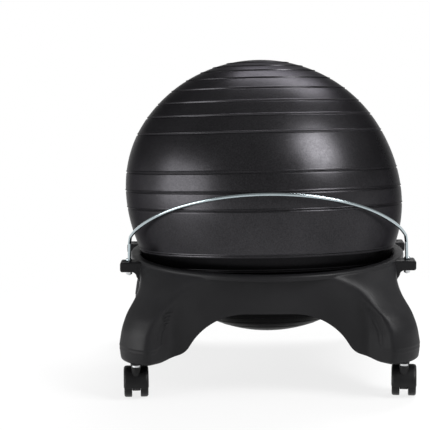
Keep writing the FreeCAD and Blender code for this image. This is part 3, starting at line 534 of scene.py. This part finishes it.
def arch_curve():
    """The arch's outline as heights over distances from its middle."""
    turn = np.linspace(0, ARCH_TURN, 40)
    x = list(ARCH_FLAT + ARCH_SHOULDER * np.sin(turn))
    z = list(ARCH_CROWN - ARCH_SHOULDER * (1 - np.cos(turn)))
    run_x = x[-1] + ARCH_DROP * math.cos(ARCH_TURN)
    run_z = z[-1] - ARCH_DROP * math.sin(ARCH_TURN)
    back = np.linspace(ARCH_TURN, TOE_SLOPE, 20)
    x += list(run_x + ARCH_TOE * (math.sin(ARCH_TURN) - np.sin(back)))
    z += list(run_z - ARCH_TOE * (np.cos(back) - math.cos(ARCH_TURN)))
    x.append(x[-1] + (z[-1] - FOOT_HEIGHT) / math.tan(TOE_SLOPE))
    z.append(FOOT_HEIGHT)
    return np.array([0] + x + [1000]), np.array([ARCH_CROWN] + z + [FOOT_HEIGHT])


ARCH_X, ARCH_Z = arch_curve()
SECTION_HEIGHTS = np.arange(FOOT_HEIGHT - 1, RIM_HEIGHT + 1)
SECTIONS = np.array([lift_toe(section(max(height, FOOT_HEIGHT)), height) for height in SECTION_HEIGHTS])


def on_skin(column, height):
    """Where a column of the skin lies at a height, between the two nearest sections."""
    place = np.clip((height - SECTION_HEIGHTS[0]), 0, len(SECTION_HEIGHTS) - 1.001)
    low = int(place)
    part = place - low
    return SECTIONS[low, column] * (1 - part) + SECTIONS[low + 1, column] * part


SEARCH_ROUNDS = 30
SEARCH_SHARE = 0.5


def lowest(column):
    """The height at which a column of the skin meets the arch."""
    height = FOOT_HEIGHT
    for _ in range(SEARCH_ROUNDS):
        wanted = np.interp(abs(on_skin(column, height)[1]), ARCH_X, ARCH_Z)
        height += SEARCH_SHARE * (wanted - height)
    return height


def octant_points():
    """Rows of the skin's points over an eighth of the base, from the seat's lower edge outwards."""
    angles = [math.atan2(*reversed(on_skin(column, LEG_TOP))) for column in range(OCTANT_COLUMNS + 1)]
    rows = []

    def ring(radius, height):
        rows.append([(radius * math.cos(angle), radius * math.sin(angle), height) for angle in angles])

    for height in np.linspace(SEAT_BOTTOM, SEAT_TOP, SEAT_ROWS):
        ring(math.sqrt(SEAT_SPHERE ** 2 - (height - BALL_HEIGHT / MM) ** 2), height)
    round_start = RIM_RADIUS - RIM_ROUND
    land = round_start - RIM_LAND
    ring(land - LAND_EDGE, RIM_HEIGHT - LAND_EDGE_DROP)
    for radius in np.linspace(land, round_start, LAND_ROWS):
        ring(radius, RIM_HEIGHT)
    lips = [(round_start + RIM_ROUND * math.sin(turn), RIM_HEIGHT - RIM_ROUND * (1 - math.cos(turn)))
            for turn in np.linspace(0, math.pi / 2, ROUND_ROWS + 1)[1:]]
    lips += [(RIM_RADIUS, height) for height in LIP_HEIGHTS]
    lips += [(RIM_RADIUS - LIP_TUCK, RIM_HEIGHT - LIP_DEPTH)]
    for radius, height in lips:
        row = []
        for column, angle in enumerate(angles):
            leg = on_skin(column, height)
            reach = math.hypot(*leg) if height <= LEG_TOP else 0
            wide = max(radius, reach)
            turn = math.atan2(leg[1], leg[0]) if reach > radius else angle
            row.append((wide * math.cos(turn), wide * math.sin(turn), height))
        rows.append(row)
    bottoms = [lowest(column) for column in range(OCTANT_COLUMNS + 1)]
    start = RIM_HEIGHT - LIP_DEPTH
    for step in range(WALL_ROWS + 1):
        share = step / WALL_ROWS
        share += ROW_CROWDING * share * (1 - share)
        row = []
        for column in range(OCTANT_COLUMNS + 1):
            height = start + share * (bottoms[column] - start)
            spot = on_skin(column, height)
            row.append((spot[0], spot[1], height))
        rows.append(row)
    return np.array(rows)


# Short creases across the inner side of the front left leg: height and length of each
CREASES = ((135.5, 12.0), (141.5, 14.0), (148.0, 17.0), (155.0, 20.0))
CREASE_DEPTH = 1.6
CREASE_WIDTH = 1.5
CREASE_MIDDLE = 296.0
CREASE_SIDE = 15


def sink_creases(rows):
    along = -(rows[:, :, 0] + rows[:, :, 1]) / math.sqrt(2)
    aside = (rows[:, :, 0] - rows[:, :, 1]) / math.sqrt(2)
    for height, length in CREASES:
        across = np.exp(-((rows[:, :, 2] - height) / CREASE_WIDTH) ** 2)
        ends = np.exp(-((along - CREASE_MIDDLE) / (length / 2)) ** 4)
        sink = CREASE_DEPTH * across * ends * (aside > CREASE_SIDE)
        rows[:, :, 0] -= sink / math.sqrt(2)
        rows[:, :, 1] += sink / math.sqrt(2)


def base_half(name, side, body, replaced):
    """One half of the base: four eighths in a row, mirrored and turned from the first, with a wall."""
    eighth = octant_points()
    flipped = eighth[:, ::-1][:, :, [1, 0, 2]]
    quarter = np.concatenate((eighth, flipped[:, 1:]), axis=1)
    turned = np.stack((-quarter[:, :, 1], quarter[:, :, 0], quarter[:, :, 2]), axis=2)
    rows = np.concatenate((quarter, turned[:, 1:]), axis=1)
    rows[:, :, 1] = np.maximum(rows[:, :, 1], SEAM_GAP)
    rows[:, :, 1] *= side
    if side < 0:
        sink_creases(rows)
    points = rows.reshape(-1, 3) * MM
    faces = grid_faces(rows.shape[0], rows.shape[1], False)
    piece = add_mesh(name, points, faces, "moulded_plastic", body, replaced)
    work = bmesh.new()
    work.from_mesh(piece.data)
    bmesh.ops.remove_doubles(work, verts=work.verts, dist=WELD)
    bmesh.ops.recalc_face_normals(work, faces=work.faces)
    middle = max(work.faces, key=lambda face: face.calc_center_median().xy.length)
    if middle.normal.dot(Vector((*middle.calc_center_median().xy, 0))) < 0:
        bmesh.ops.reverse_faces(work, faces=work.faces)
    work.to_mesh(piece.data)
    work.free()
    wall = piece.modifiers.new("wall", "SOLIDIFY")
    wall.thickness = BASE_WALL * MM
    wall.offset = -1
    wall.use_even_offset = False


base_half("base_skin_rear", 1, "chair_frame", ("base_rear",))
base_half("base_skin_front", -1, "chair_frame", ("base_front",))


EDGE_SEGMENTS = 3
EDGE_ANGLE = math.radians(35)


def in_metres(outline):
    return [(x * MM, z * MM) for x, z in outline]


def prism(name, outline, thickness, place, slot, body, bevel, clamp=True):
    """A plate whose outline lies in its local XY plane, centred on that plane, with rounded edges."""
    half = thickness / 2
    points = [(x, y, -half) for x, y in outline] + [(x, y, half) for x, y in outline]
    count = len(outline)
    faces = [tuple(range(count))[::-1], tuple(range(count, 2 * count))]
    faces += [(i, (i + 1) % count, (i + 1) % count + count, i + count) for i in range(count)]
    piece = add_mesh(name, [place @ Vector(point) for point in points], faces, slot, body, smooth=False)
    round_edges(piece, bevel, clamp=clamp)
    return piece


def round_edges(piece, width, clamp=True):
    bevel = piece.modifiers.new("edges", "BEVEL")
    bevel.width = width
    bevel.segments = EDGE_SEGMENTS
    bevel.use_clamp_overlap = clamp
    bevel.limit_method = "ANGLE"
    bevel.angle_limit = EDGE_ANGLE
    bevel.harden_normals = False
    piece.data.shade_smooth()
    normals = piece.modifiers.new("normals", "WEIGHTED_NORMAL")
    normals.keep_sharp = False


def upright(direction):
    """Turns a local outline so that its X runs along a level direction and its Y runs upwards."""
    up = Vector((0, 0, 1))
    return Matrix((direction, up, direction.cross(up))).transposed().to_4x4()


def diagonal_skin(height):
    """The section's points as distance along the leg's diagonal and distance from it."""
    place = int(height - SECTION_HEIGHTS[0])
    x, y = SECTIONS[place, :, 0], SECTIONS[place, :, 1]
    return (x + y) / math.sqrt(2), (x - y) / math.sqrt(2)


EAR_REACH = 272.0
EAR_ROOT = 230.0
EAR_TOP = 223.0
EAR_BOTTOM = 204.5
EAR_SPACING = 96.5
EAR_WIDTH = 35.0
EAR_CORNER = 4.2
EAR_FILLET = 8.5
EAR_NECK = 242.0
EAR_GUSSET = 186.0
EAR_GUSSET_REACH = 6.0
EAR_BEND_POINTS = 6
EAR_EDGE = 3.0
BAR_SPACING = 256.5
ROD_HOLE = 3.3
CUTTER_CORE = 0.0001
CUTTER_BOTTOM = 180.0
CUTTER_TOP = 240.0
FINE_WELD = 0.000001
RIB = 3.0
RIB_EDGE = 0.4
RIB_TOP = 205.0
RIB_STEP = 6.0
RIB_INSET = 2.0
PANEL_RIB_SETBACK = 3.0
PANEL_RIB_TOP = 216.0
RIB_SPACING = 75.0
RIB_FLOOR = 76.0
RIB_START = 268.0
WEB_TOP = 110.0
WEB_INSET = 2.5
STEM_SPACING = 237.0
FLANGE = 5.0
FLANGE_REACH = 216.0
FLANGE_EDGE = 0.5
FLANGE_SETBACK = 2.0
FLANGE_SLOPE = 14.0
FLANGE_KNEE = 3.0
FLANGE_KNEE_HEIGHT = 200.0
CORNERS = (("left_front", -1, -1), ("left_rear", -1, 1), ("right_front", 1, -1), ("right_rear", 1, 1))
BOSS_PROFILE = ((5.6, 63.0), (9.2, 63.0), (9.8, 63.6), (9.8, 107.0), (9.2, 107.5), (0.5, 107.5),
                (0.5, 103.0), (5.6, 103.0), (5.6, 63.0))


def ear_outline():
    def bend(x, z, radius, start, end):
        return [(x + radius * math.cos(turn), z + radius * math.sin(turn))
                for turn in np.radians(np.linspace(start, end, EAR_BEND_POINTS))]

    outer = EAR_REACH - EAR_CORNER
    return [(EAR_ROOT, EAR_TOP)] + bend(outer, EAR_TOP - EAR_CORNER, EAR_CORNER, 90, 0) + \
        bend(outer, EAR_BOTTOM + EAR_CORNER, EAR_CORNER, 0, -90) + \
        bend(EAR_NECK + EAR_FILLET, EAR_BOTTOM - EAR_FILLET, EAR_FILLET, 90, 180) + \
        [(EAR_ROOT + EAR_GUSSET_REACH, EAR_GUSSET), (EAR_ROOT, EAR_GUSSET)]


def make_ear(name, x_side, y_side):
    middle = Vector((0, y_side * EAR_SPACING * MM, 0))
    place = Matrix.Translation(middle) @ upright(Vector((x_side, 0, 0)))
    ear = prism(name, in_metres(ear_outline()), EAR_WIDTH * MM, place, "moulded_plastic", "chair_frame",
                EAR_EDGE * MM, clamp=False)
    cutter_profile = ((CUTTER_CORE, CUTTER_BOTTOM), (ROD_HOLE, CUTTER_BOTTOM),
                      (ROD_HOLE, CUTTER_TOP), (CUTTER_CORE, CUTTER_TOP))
    bore = revolved(name + "_cutter", cutter_profile, 32,
                    Matrix.Translation(Vector((x_side * BAR_SPACING * MM, y_side * EAR_SPACING * MM, 0))))
    cut_away(ear, bore)


def revolved(name, profile, columns, place):
    """A mesh turned about the local Z axis from pairs of radius and height in millimetres."""
    points = []
    for radius, height in profile:
        for column in range(columns):
            angle = 2 * math.pi * column / columns
            spot = Vector((radius * math.cos(angle), radius * math.sin(angle), height))
            points.append(place @ (spot * MM))
    faces = grid_faces(len(profile), columns, True)
    mesh = bpy.data.meshes.new(name)
    mesh.from_pydata([tuple(point) for point in points], [], faces)
    work = bmesh.new()
    work.from_mesh(mesh)
    bmesh.ops.remove_doubles(work, verts=work.verts, dist=FINE_WELD)
    bmesh.ops.holes_fill(work, edges=[edge for edge in work.edges if edge.is_boundary])
    bmesh.ops.recalc_face_normals(work, faces=work.faces)
    work.to_mesh(mesh)
    work.free()
    mesh.shade_smooth()
    piece = bpy.data.objects.new(name, mesh)
    bpy.context.scene.collection.objects.link(piece)
    return piece


def cut_away(piece, cutter):
    """Applies the piece's modifiers, cuts the cutter out of it and drops the cutter."""
    cut = piece.modifiers.new("cut", "BOOLEAN")
    cut.operation = "DIFFERENCE"
    cut.solver = "EXACT"
    cut.object = cutter
    bpy.context.view_layer.update()
    shape = bpy.data.meshes.new_from_object(piece.evaluated_get(bpy.context.evaluated_depsgraph_get()))
    piece.modifiers.clear()
    piece.data = shape
    bpy.data.objects.remove(cutter)


def leg_rib(mark, out):
    """The upright rib behind a leg's ridge."""
    heights = np.arange(RIB_FLOOR, RIB_TOP, RIB_STEP)
    ridge = [(diagonal_skin(height)[0].max() - RIB_INSET, height) for height in heights]
    outline = [(RIB_START, RIB_FLOOR)] + [spot for spot in ridge if spot[0] > RIB_START + 1]
    outline.append((RIB_START, outline[-1][1]))
    prism("leg_rib_" + mark, in_metres(outline), RIB * MM, upright(out),
          "moulded_plastic", "chair_frame", RIB_EDGE * MM)


def leg_web(mark, out):
    """The upright web across a leg, at its caster."""
    reach = STEM_SPACING * math.sqrt(2)
    wings = []
    for height in np.arange(RIB_FLOOR, WEB_TOP, RIB_STEP):
        along, beside = diagonal_skin(height)
        order = np.argsort(along)
        wings.append((np.interp(reach, along[order], beside[order]) - WEB_INSET, height))
    outline = [(-aside, height) for aside, height in wings] + wings[::-1]
    across = Vector((-out.y, out.x, 0))
    prism("leg_web_" + mark, in_metres(outline), RIB * MM,
          Matrix.Translation(out * reach * MM) @ upright(across),
          "moulded_plastic", "chair_frame", RIB_EDGE * MM)


def caster_boss(mark, x_side, y_side):
    boss = revolved("caster_boss_" + mark, BOSS_PROFILE, 40,
                    Matrix.Translation(Vector((x_side, y_side, 0)) * STEM_SPACING * MM))
    fit_on(boss, "moulded_plastic", "chair_frame")


def panel_ribs():
    """Two upright ribs behind each of the four side panels."""
    low = float(np.interp(RIB_SPACING, ARCH_X, ARCH_Z))
    outer = PANEL_REACH - PANEL_RIB_SETBACK
    outline = ((FLANGE_REACH, low), (outer, low), (outer, PANEL_RIB_TOP),
               (FLANGE_REACH + FLANGE_SLOPE, PANEL_RIB_TOP))
    for quarter in range(4):
        out = Matrix.Rotation(math.pi / 2 * quarter, 3, "Z") @ Vector((1, 0, 0))
        aside = Vector((-out.y, out.x, 0))
        for side in (-1, 1):
            shift = Matrix.Translation(aside * side * RIB_SPACING * MM)
            prism(f"panel_rib_{quarter}_{(side + 1) // 2}", in_metres(outline), RIB * MM,
                  shift @ upright(out), "moulded_plastic", "chair_frame", RIB_EDGE * MM)


def joint_flange(mark, x_side, y_side):
    """The flange of one half of the base, where the two halves are bolted together."""
    outer = PANEL_REACH - FLANGE_SETBACK
    outline = ((FLANGE_REACH, ARCH_CROWN), (outer, ARCH_CROWN), (outer, PANEL_RIB_TOP),
               (FLANGE_REACH + FLANGE_SLOPE, PANEL_RIB_TOP),
               (FLANGE_REACH + FLANGE_KNEE, FLANGE_KNEE_HEIGHT))
    shift = Matrix.Translation(Vector((0, y_side * (FLANGE / 2 + SEAM_GAP / 2) * MM, 0)))
    prism("joint_flange_" + mark, in_metres(outline), (FLANGE - SEAM_GAP) * MM,
          shift @ upright(Vector((x_side, 0, 0))), "moulded_plastic", "chair_frame", FLANGE_EDGE * MM)


for corner_mark, side_x, side_y in CORNERS:
    diagonal = Vector((side_x, side_y, 0)).normalized()
    leg_rib(corner_mark, diagonal)
    leg_web(corner_mark, diagonal)
    caster_boss(corner_mark, side_x, side_y)
    make_ear("ear_" + corner_mark, side_x, side_y)
panel_ribs()
for corner_mark, side_x, side_y in CORNERS:
    joint_flange(corner_mark, side_x, side_y)


# Support bar: the same bent wire as the CAD bar, as a smooth round curve
BAR_RADIUS = 3.0
BAR_CORNER = 262.0
BAR_CREST = 370.0
BAR_REACH = 264.5
BAR_BEND = 8.0
BAR_LEAD = 16.0
BAR_FOOT = 197.3
BAR_ARC_POINTS = 60
BAR_BEND_POINTS = 9
COLLAR_PROFILE = ((3.0, 223.0), (5.2, 223.0), (5.6, 223.4), (5.6, 226.6), (4.9, 227.4), (3.0, 227.7))


def bar_points():
    """The wire's centre line: rod, bend, short lead and the leaning arc, mirrored."""
    front = -EAR_SPACING
    rise = Vector((0, EAR_SPACING - BAR_REACH, BAR_CREST - BAR_CORNER))
    sagitta = rise.length
    up = rise / sagitta
    centre_up = (sagitta ** 2 + BAR_LEAD ** 2 - BAR_SPACING ** 2) / (2 * sagitta)
    radius = sagitta - centre_up
    middle = Vector((0, front, BAR_CORNER))
    hub = middle + up * centre_up
    touch = math.atan2(BAR_SPACING, -centre_up) - math.atan2(BAR_LEAD, radius)
    arc = [hub + (Vector((math.sin(turn), 0, 0)) + up * math.cos(turn)) * radius
           for turn in np.linspace(0, touch, BAR_ARC_POINTS)]
    corner = middle + Vector((BAR_SPACING, 0, 0))
    inward = (arc[-1] - corner).normalized()
    down = Vector((0, 0, -1))
    cut_back = BAR_BEND * math.tan((math.pi - inward.angle(down)) / 2)
    bisector = (down + inward).normalized()
    bend_hub = corner + bisector * math.hypot(BAR_BEND, cut_back)
    start = corner + inward * cut_back - bend_hub
    end = corner + down * cut_back - bend_hub
    bend = [bend_hub + start.slerp(end, share) for share in np.linspace(0, 1, BAR_BEND_POINTS)]
    foot = Vector((BAR_SPACING, front, BAR_FOOT))
    right = arc + bend + [foot]
    left = [Vector((-point.x, point.y, point.z)) for point in reversed(right[1:])]
    return left + right


def make_bar():
    line = bpy.data.curves.new("support_bar_wire", "CURVE")
    line.dimensions = "3D"
    line.bevel_depth = BAR_RADIUS * MM
    line.bevel_resolution = 6
    line.use_fill_caps = True
    spline = line.splines.new("POLY")
    points = bar_points()
    spline.points.add(len(points) - 1)
    for knot, point in zip(spline.points, points):
        knot.co = (*(point * MM), 1)
    wire = bpy.data.objects.new("support_bar_wire", line)
    bpy.context.scene.collection.objects.link(wire)
    fit_on(wire, "bright_steel", "chair_frame", ("support_bar",))
    for side, mark in ((-1, "left"), (1, "right")):
        place = Matrix.Translation(Vector((side * BAR_SPACING, -EAR_SPACING, 0)) * MM)
        collar = revolved("bar_collar_" + mark, COLLAR_PROFILE, 32, place)
        fit_on(collar, "bright_steel", "chair_frame")


make_bar()


# Casters
WHEEL_RADIUS = 25.0
TRAIL = 18.0
GUARD_RADIUS = 29.5
FRONT_GUARD_RISE = 1.8
GUARD_WALL = 2.6
GUARD_START = 30
GUARD_END = 184
GUARD_EDGE = 0.7
CASTER_WEB = 14.6
CASTER_WEB_EDGE = 1.6
CASTER_WEB_LOW = 14.3
CASTER_WEB_HIGH = 27.5
WHEEL_PROFILE = (
    (7.5, 3.1), (7.5, 6.2), (8.6, 6.8), (9.6, 8.5), (9.8, 18.6), (8.4, 20.2), (7.6, 21.0), (7.5, 23.2),
    (7.9, 24.4), (8.7, 24.95), (12.5, 25.0), (17.8, 24.95), (19.6, 24.5), (20.8, 23.5), (21.4, 22.0),
    (21.6, 19.2), (21.5, 18.0), (20.6, 17.4), (19.7, 16.6), (19.5, 9.2), (19.9, 8.2), (20.9, 7.6),
    (21.4, 6.6), (21.6, 4.0), (21.65, 0.05),
)
GUARD_PROFILE = ((0.0, 0.0), (15.0, 0.0), (18.2, -0.25), (19.9, -0.9), (21.1, -2.1), (21.9, -3.9),
                 (22.2, -6.4), (22.3, -9.4))
NECK_PROFILE = ((4.1, 59.0), (7.6, 59.0), (8.2, 58.5), (8.3, 57.5), (8.0, 50.0), (7.7, 44.0),
                (6.6, 41.4), (4.2, 40.6))


def caster_frames():
    """Each caster's corner and the matrix from its own axes: stem on Z, wheels behind on +Y."""
    joints = {joint["name"]: joint for joint in frame["joints"]}
    places = {}
    for name in joints:
        if not name.startswith("swivel_"):
            continue
        corner = name[len("swivel_"):]
        axle = Vector(joints[f"roll_{corner}_right"]["axis"])
        turn = Matrix.Rotation(math.atan2(axle.y, axle.x), 4, "Z")
        stem = Vector(joints[name]["pos_m"])
        places[corner] = Matrix.Translation((stem.x, stem.y, 0)) @ turn
    return places


def make_wheel(corner, side, place):
    mirror = Matrix.Rotation(math.pi, 4, "Z") if side == "left" else Matrix.Identity(4)
    hub = Matrix.Translation(Vector((0, TRAIL, WHEEL_RADIUS)) * MM)
    profile = [(radius, along) for along, radius in WHEEL_PROFILE]
    to_axle = Matrix.Rotation(math.pi / 2, 4, "Y")
    wheel = revolved(f"caster_wheel_{corner}_{side}", profile, 56, place @ hub @ mirror @ to_axle)
    node = f"wheel_{corner}_{side}"
    fit_on(wheel, "wheel_plastic", node + "_body", (node,))


def make_hood(corner, place):
    body = "caster_" + corner
    guard_radius = GUARD_RADIUS + FRONT_GUARD_RISE * corner.startswith("front")
    steps = np.radians(np.linspace(GUARD_START, GUARD_END, 40))
    profile = [(-x, drop) for x, drop in reversed(GUARD_PROFILE[1:])] + list(GUARD_PROFILE)
    points = []
    for angle in steps:
        for along, drop in profile:
            radius = guard_radius + drop
            points.append(place @ (Vector((along, TRAIL + radius * math.cos(angle),
                                           WHEEL_RADIUS + radius * math.sin(angle))) * MM))
    guard = add_mesh("caster_guard_" + corner, points, grid_faces(len(steps), len(profile), False),
                     "caster_plastic", body, ("hood_" + corner,))
    facing_out(guard, place @ (Vector((0, TRAIL, WHEEL_RADIUS)) * MM))
    wall = guard.modifiers.new("wall", "SOLIDIFY")
    wall.thickness = GUARD_WALL * MM
    wall.offset = -1
    round_edges(guard, GUARD_EDGE * MM)
    prism("caster_web_" + corner, in_metres(web_outline()), CASTER_WEB * MM,
          place @ upright(Vector((0, 1, 0))), "caster_plastic", body, CASTER_WEB_EDGE * MM)
    neck = revolved("caster_neck_" + corner, NECK_PROFILE, 36, place)
    fit_on(neck, "caster_plastic", body)


def facing_out(piece, middle):
    """Turns a surface so that its faces look away from the middle."""
    work = bmesh.new()
    work.from_mesh(piece.data)
    face = work.faces[:][len(work.faces) // 2]
    if face.normal.dot(face.calc_center_median() - middle) < 0:
        bmesh.ops.reverse_faces(work, faces=work.faces)
    work.to_mesh(piece.data)
    work.free()


def web_outline():
    """The web between the wheels, round below the axle and reaching forward to the neck."""
    low = [(TRAIL + CASTER_WEB_LOW * math.cos(turn), WHEEL_RADIUS + CASTER_WEB_LOW * math.sin(turn))
           for turn in np.linspace(-math.pi * 0.93, math.radians(20), 22)]
    top = [(TRAIL + CASTER_WEB_HIGH * math.cos(turn), WHEEL_RADIUS + CASTER_WEB_HIGH * math.sin(turn))
           for turn in np.linspace(math.radians(38), math.radians(100), 10)]
    front = [(6.0, 50.5), (-4.5, 47.0), (-5.5, 40.0), (-3.0, 31.0)]
    return low + top + front


for corner_name, corner_place in caster_frames().items():
    make_hood(corner_name, corner_place)
    for wheel_side in ("left", "right"):
        make_wheel(corner_name, wheel_side, corner_place)


# Stage and light. The floor is whiter the farther it lies from the chair, so its shadow stays.
# The white goes on a little above the horizon, and the rest of the room is plain grey.
WHITE_START = 0.30
WHITE_END = 0.95
WHITE_NEAR = 0.80
HORIZON_START = 0.04
HORIZON_END = 0.15
FLOOR_HALF = 60.0
FLOOR_GREY = 0.86
ROOM_STRENGTH = 0.32
LIGHT_TARGET = (0, 0, 0.33)


def smooth_share(tree, source, start, end, first, last):
    """A number that goes smoothly from first to last while the source goes from start to end."""
    node = tree.nodes.new("ShaderNodeMapRange")
    node.interpolation_type = "SMOOTHSTEP"
    node.inputs["From Min"].default_value = start
    node.inputs["From Max"].default_value = end
    node.inputs["To Min"].default_value = first
    node.inputs["To Max"].default_value = last
    tree.links.new(source, node.inputs["Value"])
    return node.outputs["Result"]


def make_stage():
    mesh = bpy.data.meshes.new("floor")
    corners = [(x * FLOOR_HALF, y * FLOOR_HALF, 0) for x, y in ((-1, -1), (1, -1), (1, 1), (-1, 1))]
    mesh.from_pydata(corners, [], [(0, 1, 2, 3)])
    floor = bpy.data.objects.new("floor", mesh)
    bpy.context.scene.collection.objects.link(floor)
    material = bpy.data.materials.new("floor")
    material.use_nodes = True
    tree = material.node_tree
    shader = tree.nodes["Principled BSDF"]
    shader.inputs["Base Color"].default_value = (FLOOR_GREY, FLOOR_GREY, FLOOR_GREY, 1)
    shader.inputs["Roughness"].default_value = 0.9
    shader.inputs["Specular IOR Level"].default_value = 0.2
    place = tree.nodes.new("ShaderNodeTexCoord").outputs["Object"]
    distance = tree.nodes.new("ShaderNodeVectorMath")
    distance.operation = "LENGTH"
    tree.links.new(place, distance.inputs[0])
    share = smooth_share(tree, distance.outputs["Value"], WHITE_START, WHITE_END, WHITE_NEAR, 1)
    white_to_rays(tree, shader.outputs["BSDF"], tree.nodes["Material Output"].inputs["Surface"], share)
    mesh.materials.append(material)


def white_to_rays(tree, own, target, share):
    """Mixes plain white into what the camera, mirror-like and clear surfaces see of the backdrop."""
    path = tree.nodes.new("ShaderNodeLightPath")
    seen = path.outputs["Is Camera Ray"]
    for ray in ("Is Glossy Ray", "Is Transmission Ray"):
        either = tree.nodes.new("ShaderNodeMath")
        either.operation = "MAXIMUM"
        tree.links.new(seen, either.inputs[0])
        tree.links.new(path.outputs[ray], either.inputs[1])
        seen = either.outputs["Value"]
    part = tree.nodes.new("ShaderNodeMath")
    part.operation = "MULTIPLY"
    tree.links.new(share, part.inputs[1])
    tree.links.new(seen, part.inputs[0])
    white = tree.nodes.new("ShaderNodeEmission")
    mix = tree.nodes.new("ShaderNodeMixShader")
    tree.links.new(part.outputs["Value"], mix.inputs["Fac"])
    tree.links.new(own, mix.inputs[1])
    tree.links.new(white.outputs["Emission"], mix.inputs[2])
    tree.links.new(mix.outputs["Shader"], target)


def area_light(name, place, target, width, height, watts):
    data = bpy.data.lights.new(name, "AREA")
    data.shape = "RECTANGLE"
    data.size = width
    data.size_y = height
    data.energy = watts
    lamp = bpy.data.objects.new(name, data)
    lamp.location = place
    lamp.rotation_euler = (Vector(target) - Vector(place)).to_track_quat("-Z", "Y").to_euler()
    bpy.context.scene.collection.objects.link(lamp)


def make_light():
    world = bpy.data.worlds.new("world")
    bpy.context.scene.world = world
    world.use_nodes = True
    tree = world.node_tree
    background = tree.nodes["Background"]
    background.inputs["Color"].default_value = (1, 1, 1, 1)
    background.inputs["Strength"].default_value = ROOM_STRENGTH
    direction = tree.nodes.new("ShaderNodeSeparateXYZ")
    tree.links.new(tree.nodes.new("ShaderNodeTexCoord").outputs["Generated"], direction.inputs["Vector"])
    share = smooth_share(tree, direction.outputs["Z"], HORIZON_START, HORIZON_END, 1, 0)
    surface = tree.nodes["World Output"].inputs["Surface"]
    white_to_rays(tree, background.outputs["Background"], surface, share)
    area_light("key", (1.62, -1.05, 1.90), LIGHT_TARGET, 0.95, 1.1, 54)
    area_light("left_strip", (-2.15, -0.95, 0.62), LIGHT_TARGET, 1.8, 1.4, 40)
    area_light("back", (0.38, 1.22, 2.10), LIGHT_TARGET, 1.5, 0.9, 60)


make_stage()
make_light()
bpy.context.scene.view_settings.view_transform = "Standard"
